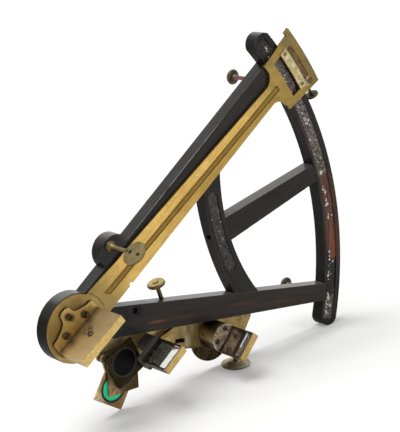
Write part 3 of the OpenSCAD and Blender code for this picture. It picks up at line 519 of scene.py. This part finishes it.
def mirror_marks(rim, seat):
    """A horizon frame: dull rims, its own tone on the seat, gold along the top bar."""
    def marks(net, here, colour):
        depth = net.axis(here, "Y")
        cloud = net.span(net.noise(here, 160, 5, 0.65), 0.35, 0.65)
        dull = net.mix(cloud, rim, [part * 0.45 for part in rim])
        pits = net.span(net.noise(here, 520, 3, 0.6, 1), 0.44, 0.6)
        pale = net.mix(pits, seat, (seat[0] * 0.16, seat[1] * 0.15, seat[2] * 0.13))
        dull = net.mix(net.span(depth, -0.0073, -0.007), dull, pale)
        return net.mix(net.span(depth, -0.0424, -0.0419), colour, dull)
    return marks


def screw_marks(*spots):
    """Old screws: bright in the middle, dark towards the rim."""
    def marks(net, here, colour):
        middle = net.either(*(net.near(here, along(ARM, *spot), 0.0008, 0.0026) for spot in spots))
        return net.mix(net.both(middle, net.span(net.noise(here, 900), 0.35, 0.5, 0.4, 1)), colour,
                       (0.6, 0.47, 0.24))
    return marks


def rim_marks(axis, rim):
    """A turned head: its rim, which faces away from the axis, is darker than its flat, as painted shade."""
    def marks(net, here, colour):
        turned = net.math("ABSOLUTE", net.dot(net.facing(), axis))
        return net.mix(net.span(turned, 0.75, 0.45), colour, rim)
    return marks


def corner_marks(name, corner, reach, light):
    """A shade frame rubbed bright towards one corner."""
    spot = min((vert.co for vert in nodes[name].data.vertices), key=corner).copy()

    def marks(net, here, colour):
        rubbed = net.both(net.near(here, spot, reach * 0.25, reach),
                          net.span(net.noise(here, 110, 5, 0.6), 0.3, 0.55))
        return net.lay(colour, rubbed, light, 0.9)
    return marks


def sight_marks(net, here, colour):
    """The sight disc: painted shade in a ring round each of its two peepholes."""
    for high in (34.7, 47.7):
        hole = net.near(here, along(SIGHT_LIMB, 89.5, 28.4, high), 0.0024, 0.0029)
        colour = net.mix(hole, colour, (0.012, 0.009, 0.005))
    return colour


def plate_marks(net, here, colour):
    """The base plate: tarnish and painted shade below the turret, a painted pool of light at the shade pin,
    and pale painted highlights beside the turret.
    """
    def spot(far, off):
        return along(MIRROR_LIMB, far, off, PLATE_Z)

    blotch = net.noise(here, 120, 5, 0.65, 0.8)
    u, v = net.across(here, MIRROR_LIMB)
    # Tarnish and painted shade: the lobe below the turret is dark.
    lobe = net.both(net.span(v, -0.045, -0.051), net.band(u, 0.165, 0.24, 0.006))
    tone = net.mix(net.span(blotch, 0.44, 0.6), (0.028, 0.024, 0.014), (0.12, 0.08, 0.036))
    colour = net.mix(lobe, colour, tone)
    # Painted light: a bright pool at the shade pin, where the index case casts shade.
    bright = net.near(here, spot(60, -32), 0.008, 0.02)
    colour = net.lay(colour, bright, (0.95, 0.74, 0.36), 0.9)
    rubbed = net.both(net.near(here, spot(122, -20), 0.012, 0.05), net.span(blotch, 0.34, 0.56))
    colour = net.lay(colour, rubbed, (0.8, 0.58, 0.24), 0.6)
    streaks = net.span(net.noise(net.stretch(here, (260, 260, 40)), 1), 0.42, 0.6)
    # Painted highlights: pale streaks beside the turret, where it is reflected.
    for far, off, reach in ((173, -24, 0.014), (170, -40, 0.009), (193, -37, 0.009)):
        smear = net.both(net.near(here, spot(far, off), 0.003, reach), streaks)
        colour = net.lay(colour, smear, (0.8, 0.71, 0.54), 0.6)
    # A painted screw end: a dark ring, with a painted glint in its middle.
    dot = spot(250, -22)
    colour = net.lay(colour, net.near(here, dot, 0.0022, 0.0032), (0.06, 0.045, 0.02), 0.8)
    return net.mix(net.near(here, dot, 0.0008, 0.0017), colour, (0.55, 0.45, 0.3))


def turret_marks(net, here, colour):
    """The turret: a pale painted highlight on its flank beside the plate's painted highlights, and painted
    shade on its lower faces.
    """
    u, _ = net.across(here, MIRROR_LIMB)
    # Painted highlight on the flank.
    rubbed = net.both(net.span(u, 0.193, 0.187), net.span(net.noise(here, 130, 5, 0.65, 0.8), 0.36, 0.52))
    colour = net.lay(colour, rubbed, (0.72, 0.58, 0.36), 0.75)
    # Painted shade: faces that do not face upward are darkened.
    return net.mix(net.span(net.normal("Z"), 0.15, -0.2, 0, 0.85), colour, (0.03, 0.023, 0.013))


def strip_marks(net, here, colour):
    """The bed of the vernier: scored across for glue, with dark and pale spots."""
    run = net.stretch(here, (1, 1, 1), (0, ARM + FRAME_TURN + 4, 0))
    scored = net.noise(net.stretch(run, (1600, 500, 90)), 1, 3, 0.7)
    colour = net.mix(net.span(scored, 0.42, 0.66, 0, 0.4), colour, (0.26, 0.2, 0.08))
    spots = net.span(net.noise(here, 190, 5, 0.6, 0.6), 0.46, 0.7)
    return net.lay(colour, spots, (0.92, 0.85, 0.62), 0.7)


def clear_glass(name, tint, bend=1.5, rough=0.02):
    """Old glass: a tint, faint smears and specks of dust."""
    material, net, skin, here = new_material(name)
    age = net.use(PATINA, {"Vector": here, "Scale": 0.7})
    dusty = net.lay(tint, age["Specks"], [part * 0.6 + 0.02 for part in tint], 0.35)
    smeared = net.span(age["Cloud"], 0, 1, rough, rough + 0.07)
    dress(net, skin, dusty, smeared, age["Cloud"], 0.03, 0.0002)
    skin["Transmission Weight"].default_value = 1
    skin["IOR"].default_value = bend
    return material


def silvering(name, bright, dull, spoilt, blots):
    """Tin and mercury on the back of a mirror, spoilt in blots."""
    material, net, skin, here = new_material(name)
    age = net.use(PATINA, {"Vector": here, "Scale": 1.6})
    colour = net.mix(age["Cloud"], bright, dull)
    colour = net.lay(colour, age["Stain"], blots, spoilt)
    skin["Metallic"].default_value = 0.85
    dress(net, skin, colour, net.span(age["Cloud"], 0, 1, 0.22, 0.36), age["Cloud"], 0.03, 0.0001)
    return material


def turned_foot(name):
    """The mushroom feet: olive heads, reddish stems."""
    material, net, skin, here = new_material(name)
    run = net.stretch(here, (1, 1, 1), (0, 0, 90))
    wood = net.use(WOOD_GRAIN, {"Vector": run})
    worn = net.use(EDGE_WEAR_AND_SHADE, {"Vector": here, "Radius": 0.001, "Reach": 0.004})
    stem = net.mix(wood["Streaks"], (0.06, 0.022, 0.014), (0.17, 0.062, 0.038))
    head = net.mix(wood["Mottle"], (0.05, 0.036, 0.018), (0.2, 0.14, 0.06))
    colour = net.mix(net.span(net.axis(here, "Y"), 0.0425, 0.0435), stem, head)
    # Rubbed edges made lighter: wear, and also a painted highlight.
    colour = net.lay(colour, worn["Edge"], (0.3, 0.2, 0.1), 0.5)
    dress(net, skin, colour, net.span(wood["Mottle"], 0.3, 0.7, 0.25, 0.42), wood["Streaks"], 0.3, 0.0001)
    return material


def lumpy(name, light, dark, scale=500, top=0.65, smooth=0.4, dull=0.65):
    """Wax or dried glue: lumps between two tones, from a smooth roughness to a dull one."""
    material, net, skin, here = new_material(name)
    lumps = net.noise(here, scale, 4, 0.6)
    colour = net.mix(net.span(lumps, 0.35, top), light, dark)
    dress(net, skin, colour, net.span(lumps, 0.3, 0.7, smooth, dull), lumps, 0.4, 0.0002)
    return material


def dried_glue(name):
    """Chalky white flakes with yellowed backs."""
    return lumpy(name, (0.6, 0.57, 0.52), (0.97, 0.96, 0.94), 700, 0.6, 0.45, 0.75)


def smooth_tree():
    """Joins a node's loose triangles and shades it smooth up to sharp edges."""
    takes = [("Geometry", GEOMETRY), ("Sharp Angle", FLOAT, 0.5)]
    tree, net, given, out = new_group("join and smooth", takes, ["Geometry"], "Geometry", GEOMETRY)
    joined = net.add("GeometryNodeMergeByDistance", {"Geometry": given[0], "Distance": 0.000002}).outputs[0]
    faces = net.add("GeometryNodeSetShadeSmooth", {"Geometry": joined}, domain="FACE").outputs[0]
    angle = net.add("GeometryNodeInputMeshEdgeAngle").outputs[0]
    over = net.add("FunctionNodeCompare", {0: angle, 1: given[1]}, operation="GREATER_THAN").outputs[0]
    values = {"Geometry": faces, "Selection": over, "Shade Smooth": False}
    edges = net.add("GeometryNodeSetShadeSmooth", values, domain="EDGE").outputs[0]
    net.put(out[0], edges)
    return tree


SMOOTH = smooth_tree()


def finish_node(name, material, rounding):
    """Gives a CAD node its material and breaks its edges."""
    node = nodes[name]
    node.data.materials.clear()
    node.data.materials.append(material)
    node.modifiers.new("join", "NODES").node_group = SMOOTH
    edge = node.modifiers.new("broken edges", "BEVEL")
    edge.width = rounding
    edge.segments = 2
    edge.limit_method = "ANGLE"
    edge.angle_limit = math.radians(35)
    edge.use_clamp_overlap = True
    edge.harden_normals = True


# How far edges are rounded, in metres
WOOD_EDGE = 0.0009
BLOCK_EDGE = 0.0004
ARM_EDGE = 0.0003
SOFT = 0.00025
CRISP = 0.0002
GLASS_EDGE = 0.00015
FINE = 0.00012
SHADE_EDGE = 0.0001

for name, label, grain, paint, rounding in (
        ("mirror_limb", "ebony, mirror limb", MIRROR_LIMB, ruddy_limb, WOOD_EDGE),
        ("sight_limb", "ebony, sight limb", SIGHT_LIMB, worn_sight, WOOD_EDGE),
        ("limb_arc", "ebony, arc", 90, empty_arc, WOOD_EDGE),
        ("curved_brace", "ebony, brace", 90, empty_brace, WOOD_EDGE),
        ("radial_strut", "ebony, strut", 0, None, WOOD_EDGE),
        ("socket_block", "ebony, socket block", MIRROR_LIMB, None, BLOCK_EDGE),
        ("fore_block", "ebony, mirror block", MIRROR_LIMB, block_painted_light, BLOCK_EDGE)):
    finish_node(name, ebony(label, grain, paint), rounding)

GOLD = (0.92, 0.63, 0.2)
GOLD_DARK = (0.72, 0.47, 0.135)
OLD = (0.40, 0.29, 0.115)
OLD_DARK = (0.24, 0.165, 0.065)
FRAME_BRASS = (0.66, 0.47, 0.18)
FRAME_DARK = (0.42, 0.29, 0.1)
# Square to the mirror limb, along the thumbscrews
LIMB_OUT = (0.189, 0, 0.982)

for material, rounding, names in (
        (brass("golden brass", GOLD, GOLD_DARK, rough=0.34, tarnish=0.35, grime_and_shade=0.45, edge=0.45,
               marks=arm_marks), ARM_EDGE, "index_arm"),
        (brass("brass of the index case", (0.54, 0.4, 0.2), (0.37, 0.27, 0.13), rough=0.38, tarnish=0.4,
               grime_and_shade=0.9, edge=0.6, marks=case_marks), CRISP, "index_case"),
        (brass("brass of the base plate", OLD, OLD_DARK, rough=0.38, grime_and_shade=0.7, marks=plate_marks),
         SOFT, "base_plate"),
        (brass("pale brass strip", (0.66, 0.56, 0.3), (0.44, 0.35, 0.16), rough=0.4, tarnish=0.4, grime_and_shade=0.6,
               edge=0.4, scale=2, marks=strip_marks), FINE, "vernier_plate"),
        (brass("olive brass, sight", (0.22, 0.175, 0.077), (0.12, 0.095, 0.04), rough=0.4, tarnish=0.45,
               marks=sight_marks), SOFT, "sight_vane"),
        (brass("dark bronze, front shade", (0.05, 0.035, 0.014), (0.022, 0.015, 0.006), rough=0.38, grime_and_shade=0.8,
               edge=0.25), CRISP, "shade_front"),
        (brass("brown brass, middle shade", (0.11, 0.077, 0.029), (0.058, 0.04, 0.015), rough=0.38,
               marks=corner_marks("shade_middle", lambda p: p.z + 0.5 * p.x, 0.024, (0.6, 0.36, 0.19))),
         CRISP, "shade_middle"),
        (brass("warm brass, rear shade", (0.48, 0.3, 0.13), (0.28, 0.16, 0.066), rough=0.38, edge=0.8,
               marks=corner_marks("shade_rear", lambda p: p.x, 0.02, (0.85, 0.7, 0.42))),
         CRISP, "shade_rear"),
        (brass("grey brass, back thumbscrew", (0.85, 0.74, 0.48), (0.28, 0.245, 0.15), tarnish=0.6, edge=0.9,
               scale=1.4, marks=rim_marks(LIMB_OUT, (0.09, 0.085, 0.055))), SOFT, "back_thumbscrew"),
        (brass("brass, fore thumbscrew", (0.6, 0.46, 0.2), (0.36, 0.265, 0.105),
               marks=rim_marks(LIMB_OUT, (0.1, 0.075, 0.034))), SOFT, "fore_thumbscrew"),
        # The fore mirror's seat is nearly black: painted shadow in the gap under its glass.
        (brass("brass of the fore mirror", FRAME_BRASS, FRAME_DARK, rough=0.38, edge=0.35,
               marks=mirror_marks((0.035, 0.026, 0.017), (0.03, 0.026, 0.02))), CRISP, "fore_frame"),
        (brass("brass of the back mirror", FRAME_BRASS, FRAME_DARK, rough=0.38, edge=0.35,
               marks=mirror_marks((0.07, 0.042, 0.026), (0.95, 0.84, 0.62))), CRISP, "back_frame"),
        (brass("dull brass, turret", (0.26, 0.18, 0.06), (0.045, 0.032, 0.015), rough=0.34, tarnish=0.6,
               edge=0.6, marks=turret_marks), CRISP, "back_turret"),
        (brass("dark bronze, shade pin", (0.06, 0.042, 0.02), (0.03, 0.02, 0.01), rough=0.4, grime_and_shade=0.8,
               edge=0.2), SOFT, "shade_pin shade_spacer"),
        (brass("reddish rivet", (0.2, 0.105, 0.06), (0.1, 0.05, 0.028)), FINE, "tangent_rivet"),
        (brass("dull brass, tangent screw", (0.1, 0.075, 0.036), (0.045, 0.034, 0.017), rough=0.34, edge=1),
         SOFT, "tangent_lug tangent_screw"),
        (brass("darkened screw", (0.12, 0.075, 0.04), (0.06, 0.036, 0.02), rough=0.4, tarnish=0.6),
         FINE, "back_foot_screws case_screw"),
        (brass("screw brass", (0.32, 0.23, 0.1), (0.18, 0.12, 0.05), rough=0.38, tarnish=0.6),
         FINE, "pivot_screws base_screws vernier_screws"),
        (brass("old brass", OLD, OLD_DARK, tarnish=0.55), SOFT,
         "pivot_arbor pivot_nut pivot_bush pivot_plate sight_nut fore_stud back_stud back_post fore_lever")):
    for name in names.split():
        finish_node(name, material, rounding)
case_screws = brass("screws of the index case", (0.1, 0.068, 0.03), (0.05, 0.033, 0.015), rough=0.38,
                    edge=0.4, marks=screw_marks((-13, 4.5, 8.2), (17, 4.5, 8.2), (2.5, 16.8, 9.5)))
finish_node("bracket_screws", case_screws, FINE)
finish_node("tilt_screw", case_screws, CRISP)
finish_node("back_feet", turned_foot("turned feet"), ARM_EDGE)

for name, rounding, *looks in (
        ("index_glass", CRISP, "index glass", (0.86, 0.89, 0.87)),
        ("fore_glass", GLASS_EDGE, "horizon glass", (0.87, 0.87, 0.85)),
        ("back_glass", GLASS_EDGE, "back horizon glass", (0.85, 0.86, 0.84)),
        ("shade_front_glass", SHADE_EDGE, "smoked shade", (0.004, 0.003, 0.005), 1.2, 0.35),
        ("shade_middle_glass", SHADE_EDGE, "red shade", (0.05, 0.01, 0.01), 1.15),
        ("shade_rear_glass", SHADE_EDGE, "green shade", (0.003, 0.46, 0.2))):
    finish_node(name, clear_glass(*looks), rounding)


def new_object(name, data):
    """An object in the scene."""
    made = bpy.data.objects.new(name, data)
    bpy.context.scene.collection.objects.link(made)
    return made


def mesh_object(name, shape):
    """An object from mesh code."""
    mesh = bpy.data.meshes.new(name)
    shape.to_mesh(mesh)
    shape.free()
    return new_object(name, mesh)


def add_piece(name, body, material, build):
    """A piece from mesh code, in place, on a body."""
    shape = bmesh.new()
    build(shape)
    bmesh.ops.recalc_face_normals(shape, faces=shape.faces)
    piece = mesh_object(name, shape)
    piece.data.materials.append(material)
    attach(piece, body)


def wall(shape, one, two):
    """Faces between two rings of the same count."""
    for j in range(len(one)):
        k = (j + 1) % len(one)
        shape.faces.new((one[j], one[k], two[k], two[j]))


def foil(spot, left, right, low, high, near, far):
    """A thin sheet with a ragged outline. spot turns across, out and up, in mm, into a place."""
    def build(shape):
        outline = []
        steps = 14
        for side in range(4):
            for i in range(steps):
                t = i / steps
                x, z = ((left + (right - left) * t, low), (right, low + (high - low) * t),
                        (right + (left - right) * t, high), (left, high + (low - high) * t))[side]
                ragged = 0.12 + 0.12 * math.sin(5.1 * i + 2.3 * side) * math.cos(2.7 * i)
                x += ragged if x < (left + right) / 2 else -ragged
                z += ragged if z < (low + high) / 2 else -ragged
                outline.append((x, z))
        rings = [[shape.verts.new(spot(x, y, z)) for x, z in outline] for y in (near, far)]
        shape.faces.new(rings[0])
        shape.faces.new(rings[1][::-1])
        wall(shape, *rings)
    return build


def mirror_sheet(seat, low, high):
    """Silvering behind a horizon glass, over part of its height."""
    return foil(lambda x, y, z: on_mirror(seat, x, y, z), -SHEET_HALF, SHEET_HALF,
                GLASS_FOOT + low * GLASS_HIGH, GLASS_FOOT + high * GLASS_HIGH, *SHEET_FACES)


grey_silver = silvering("grey silvering", (0.56, 0.57, 0.52), (0.45, 0.46, 0.41), 0.22, (0.2, 0.2, 0.175))
brown_silver = silvering("brown silvering", (0.44, 0.27, 0.21), (0.23, 0.145, 0.113), 0.6, (0.1, 0.064, 0.05))
plum_silver = silvering("plum silvering", (0.95, 0.83, 0.8), (0.7, 0.58, 0.56), 0.4, (0.36, 0.28, 0.27))
bright_silver = silvering("bright silvering", (0.62, 0.63, 0.62), (0.4, 0.4, 0.39), 0.5, (0.07, 0.055, 0.045))
add_piece("fore_silvering", "fore_mirror", grey_silver, mirror_sheet(FORE, 0, 0.62))
add_piece("back_silvering_low", "back_mirror", brown_silver, mirror_sheet(BACK, 0, 0.5))
add_piece("back_silvering_high", "back_mirror", plum_silver, mirror_sheet(BACK, 0.703, 1))
add_piece("index_silvering", "arm", bright_silver,
          foil(lambda x, y, z: along(ARM, x, y, z), -30.2, 30.2, 6.2, 44.2, -2.04, -2.09))


def wax_bead(seat):
    """A ragged bead of wax along the top of a horizon glass, under the bar."""
    top = GLASS_FOOT + GLASS_HIGH
    steps = 60

    def build(shape):
        rings = []
        for i in range(steps + 1):
            x = -15.1 + 30.2 * i / steps
            low = 3.2 + 0.25 * math.sin(1.3 * i) + 0.2 * math.sin(0.37 * i + 1)
            section = (-2.08, 0.05), (-2.08, low), (-1.8, low - 0.2), (-1.2, low - 1.9), (-0.9, 0.05)
            rings.append([shape.verts.new(on_mirror(seat, x, y, top - z)) for y, z in section])
        for one, two in zip(rings, rings[1:]):
            wall(shape, one, two)
        shape.faces.new(rings[0])
        shape.faces.new(rings[-1][::-1])
    return build


def putty_ring(glass, rim, hole, width):
    """A fillet of wax between a shade's glass and its frame, on the front."""
    low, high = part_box(glass)
    centre = (low + high) / 2
    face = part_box(rim)[0].y
    profile = [(hole - 0.00002, face + 0.0002), (hole - 0.00002, low.y + 0.0002),
               (hole - width, low.y + 0.0002), (hole - width, low.y - 0.00006),
               (hole - width * 0.45, face + 0.00032)]
    turns = 96

    def build(shape):
        rings = []
        for i in range(turns):
            a = 2 * math.pi * i / turns
            wobble = 0.00012 * math.sin(7 * a) + 0.00008 * math.sin(17 * a + 1)
            ring = [(r - wobble * (r < hole - 0.0005), y) for r, y in profile]
            rings.append([shape.verts.new((centre.x + r * math.cos(a), y, centre.z + r * math.sin(a)))
                          for r, y in ring])
        for one, two in zip(rings, rings[1:] + rings[:1]):
            wall(shape, one, two)
    return build


dark_wax = lumpy("wax of the mirrors", (0.02, 0.015, 0.01), (0.008, 0.006, 0.004))
add_piece("wax_fore", "fore_mirror", dark_wax, wax_bead(FORE))
add_piece("wax_back", "back_mirror", dark_wax, wax_bead(BACK))
SHADE_HOLE = 0.0167
# The front and rear rings are dark wax, wide enough to stand also as painted shade from the wall of the
# glass's hole; the middle ring is brown and hides its glass.
for name, light, dark, width in (("front", (0.014, 0.011, 0.008), (0.006, 0.005, 0.004), 0.0017),
                                 ("middle", (0.12, 0.08, 0.036), (0.05, 0.033, 0.016), 0.0028),
                                 ("rear", (0.006, 0.007, 0.006), (0.02, 0.021, 0.017), 0.0029)):
    add_piece("putty_" + name, name + "_shade", lumpy(name + " shade wax", light, dark),
              putty_ring("shade_" + name + "_glass", "shade_" + name, SHADE_HOLE, width))


def flake_tree():
    """Chips scattered over a surface, thick where its flake_share is high."""
    takes = [("Geometry", GEOMETRY), ("Density", FLOAT), ("Smallest", FLOAT), ("Largest", FLOAT),
             ("Seed", "NodeSocketInt"), ("Finish", "NodeSocketMaterial")]
    tree, net, given, out = new_group("scattered flakes", takes, ["Geometry"], "Geometry", GEOMETRY)
    share = net.add("GeometryNodeInputNamedAttribute", {"Name": "flake_share"}, data_type="FLOAT")
    share = share.outputs["Attribute"]
    spots = net.add("GeometryNodeDistributePointsOnFaces", {"Mesh": given["Geometry"], "Seed": given["Seed"],
                                                            "Density": net.times(share, given["Density"])})
    chip = net.add("GeometryNodeMeshIcoSphere", {"Radius": 1, "Subdivisions": 2}).outputs["Mesh"]
    rough = net.add("ShaderNodeTexNoise", {"Scale": 1.3, "Detail": 2}).outputs["Color"]
    push = net.vector("SUBTRACT", rough, (0.5, 0.5, 0.5))[0]
    push = net.add("ShaderNodeVectorMath", {0: push, "Scale": 1.6}, operation="SCALE").outputs[0]
    chip = net.add("GeometryNodeSetPosition", {"Geometry": chip, "Offset": push}).outputs[0]
    draw = net.draw(0, 1, given["Seed"])
    size = net.span(net.times(draw, draw), 0, 1, given["Smallest"], given["Largest"])
    stretch = net.draw(0.55, 1.6, 5)
    scale = net.xyz(size, net.times(size, stretch), net.times(size, 0.34))
    values = {"Points": spots.outputs["Points"], "Instance": chip, "Rotation": spots.outputs["Rotation"],
              "Scale": scale}
    laid = net.add("GeometryNodeInstanceOnPoints", values).outputs[0]
    spin = net.xyz(0, 0, net.draw(0, 6.28, 8))
    laid = net.add("GeometryNodeRotateInstances", {"Instances": laid, "Rotation": spin}).outputs[0]
    real = net.add("GeometryNodeRealizeInstances", {"Geometry": laid}).outputs[0]
    done = net.add("GeometryNodeSetMaterial", {"Geometry": real, "Material": given["Finish"]}).outputs[0]
    net.put(out[0], done)
    return tree


def scatter_flakes(name, body, finish, rows, clusters, thin, values):
    """Flakes on a grid of (angle, radius) rows in the frame's plane, dense near the clusters."""
    shape = bmesh.new()
    share = shape.verts.layers.float.new("flake_share")
    grid = []
    for row in rows:
        line = []
        for spot, a, r in row:
            vert = shape.verts.new(spot)
            near = [amount * math.exp(-((a - ca) / wa) ** 2 - ((r - cr) / wr) ** 2)
                    for ca, cr, wa, wr, amount in clusters]
            vert[share] = min(1.0, thin + sum(near))
            line.append(vert)
        grid.append(line)
    for one, two in zip(grid, grid[1:]):
        for i in range(len(one) - 1):
            shape.faces.new((one[i], one[i + 1], two[i + 1], two[i]))
    bmesh.ops.recalc_face_normals(shape, faces=shape.faces)
    if sum((face.normal for face in shape.faces), Vector()).y > 0:
        bmesh.ops.reverse_faces(shape, faces=shape.faces)
    piece = mesh_object(name, shape)
    made = piece.modifiers.new("flakes", "NODES")
    made.node_group = FLAKES
    for item in FLAKES.interface.items_tree:
        if item.in_out == "INPUT" and item.name in values:
            made[item.identifier] = values[item.name]
        if item.in_out == "INPUT" and item.name == "Finish":
            made[item.identifier] = finish
    whole = piece.evaluated_get(bpy.context.evaluated_depsgraph_get())
    flakes = bpy.data.meshes.new_from_object(whole)
    piece.modifiers.clear()
    piece.data = flakes
    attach(piece, body)


FLAKES = flake_tree()
glue = dried_glue("dried glue")


def quarters(first, last):
    """Degrees in quarter steps, counted from first up to last."""
    return [step * 0.25 for step in range(first, last)]


arc_rows = [[(along(a, r, 0, RECESS_Z), a, r) for r in range(380, 393)] for a in quarters(-113, 108)]
# Places thick with flakes: degrees, radius in mm, how wide in each, and how thick
arc_clusters = [
    (10.1, 383.5, 0.25, 1.2, 1), (9.3, 386, 0.25, 1.2, 1), (8.8, 387.5, 0.2, 1, 0.8),
    (3.8, 382, 0.3, 1, 1), (0.5, 385.5, 1.2, 4, 0.2), (-0.9, 383, 0.3, 1.2, 0.9),
    (-3.8, 382.5, 0.4, 1, 0.8), (-4.7, 384, 0.3, 1, 0.8), (-6, 386, 0.25, 0.8, 1),
    (-7.1, 384, 0.5, 1.4, 1), (-9.3, 384, 0.35, 1.2, 1), (-15.9, 383, 0.2, 0.8, 0.9),
    (-17.1, 382, 0.3, 0.8, 0.9), (-18.6, 382, 0.4, 0.9, 1), (-19.9, 382.2, 0.45, 0.9, 1),
    (-21.4, 382, 0.2, 0.8, 0.7), (-23.9, 381.5, 0.3, 1, 1), (-24.7, 383.5, 0.4, 2, 1),
    (-26.2, 383.5, 1.1, 4, 0.5), (-27.8, 383, 0.3, 2, 1), (24, 384, 1, 4, 0.3),
    (26.1, 387, 0.25, 1.2, 1), (26.6, 388.5, 0.2, 1.2, 0.8), (9.8, 384.5, 0.3, 1.2, 1),
    (4, 386, 5, 9, 0.045), (16, 386, 7, 9, 0.03), (-21, 383, 2, 3, 0.04),
]
scatter_flakes("arc_glue_flakes", "frame", glue, arc_rows, arc_clusters, 0.012,
               {"Density": 560000.0, "Smallest": 0.00025, "Largest": 0.0016, "Seed": 3})
# Where the arc of the brace's recess has its centre, in mm along the frame's middle
SLOT_X = 203.5 + 23.5 * 0.47 + 290


def on_brace(degrees, radius):
    """A point in the brace's recess."""
    a = math.radians(degrees)
    return place(SLOT_X - radius * math.cos(a), radius * math.sin(a), RECESS_Z)


brace_rows = [[(on_brace(a, r), a, r) for r in range(284, 297)] for a in quarters(-36, 37)]
scatter_flakes("brace_glue_flakes", "frame", dried_glue("grey dried glue"), brace_rows,
               [(0.6, 289, 0.25, 1, 1)], 0.03,
               {"Density": 300000.0, "Smallest": 0.0003, "Largest": 0.0008, "Seed": 4})


def stage():
    """White sweep, soft light from above, and the camera of the photo."""
    scene = bpy.context.scene
    material, net, skin, _ = new_material("white floor")
    net.put(skin["Base Color"], (0.8, 0.8, 0.795))
    skin["Roughness"].default_value = 0.9
    skin["Specular IOR Level"].default_value = 0
    rays = net.add("ShaderNodeLightPath").outputs
    net.put(skin["Emission Color"], (1, 1, 1))
    seen = net.either(rays["Is Camera Ray"], rays["Is Glossy Ray"], rays["Is Transmission Ray"])
    net.put(skin["Emission Strength"], net.times(seen, 0.24))
    shape = bmesh.new()
    bmesh.ops.create_grid(shape, x_segments=1, y_segments=1, size=12)
    floor = mesh_object("floor", shape)
    floor.data.materials.append(material)
    floor.location.z = -0.0002

    world = bpy.data.worlds.new("white room")
    scene.world = world
    world.use_nodes = True
    world.node_tree.nodes.clear()
    net = Net(world.node_tree)
    rays = net.add("ShaderNodeLightPath").outputs
    seen = net.either(rays["Is Camera Ray"], rays["Is Transmission Ray"])
    way = net.axis(net.add("ShaderNodeTexCoord").outputs["Generated"], "Y")
    room = net.span(way, -0.8, 0.6, 0.75, 1)
    room = net.times(room, net.add("ShaderNodeMix", {0: rays["Is Glossy Ray"], 2: 0.38, 3: 1},
                                   data_type="FLOAT").outputs[0])
    strength = net.add("ShaderNodeMix", {0: seen, 2: room, 3: 1}, data_type="FLOAT").outputs[0]
    back = net.add("ShaderNodeBackground", {"Color": (1, 1, 1), "Strength": strength})
    world.node_tree.links.new(back.outputs[0], net.add("ShaderNodeOutputWorld").inputs["Surface"])

    sun = bpy.data.lights.new("soft roof light", "SUN")
    sun.energy = 2.25
    sun.angle = math.radians(40)
    lamp = new_object("soft roof light", sun)
    lamp.location = (-0.4, 0.25, 1.6)
    lamp.rotation_euler = (-Vector((-0.3, 0.15, 1))).to_track_quat("-Z", "Y").to_euler()

    data = bpy.data.cameras.new("camera")
    data.sensor_fit = "VERTICAL"
    data.sensor_height = 36
    data.lens = 116.67
    data.clip_end = 50
    camera = new_object("camera", data)
    right = Vector((0.75345, -0.65194, -0.08537))
    up = Vector((0.25196, 0.16635, 0.95333))
    back_way = right.cross(up)
    turn = Matrix((right, up, back_way)).transposed()
    camera.matrix_world = Matrix.Translation((-0.94552, -1.14968, 0.64282)) @ turn.to_4x4()
    scene.camera = camera
    scene.view_settings.view_transform = "Standard"


stage()
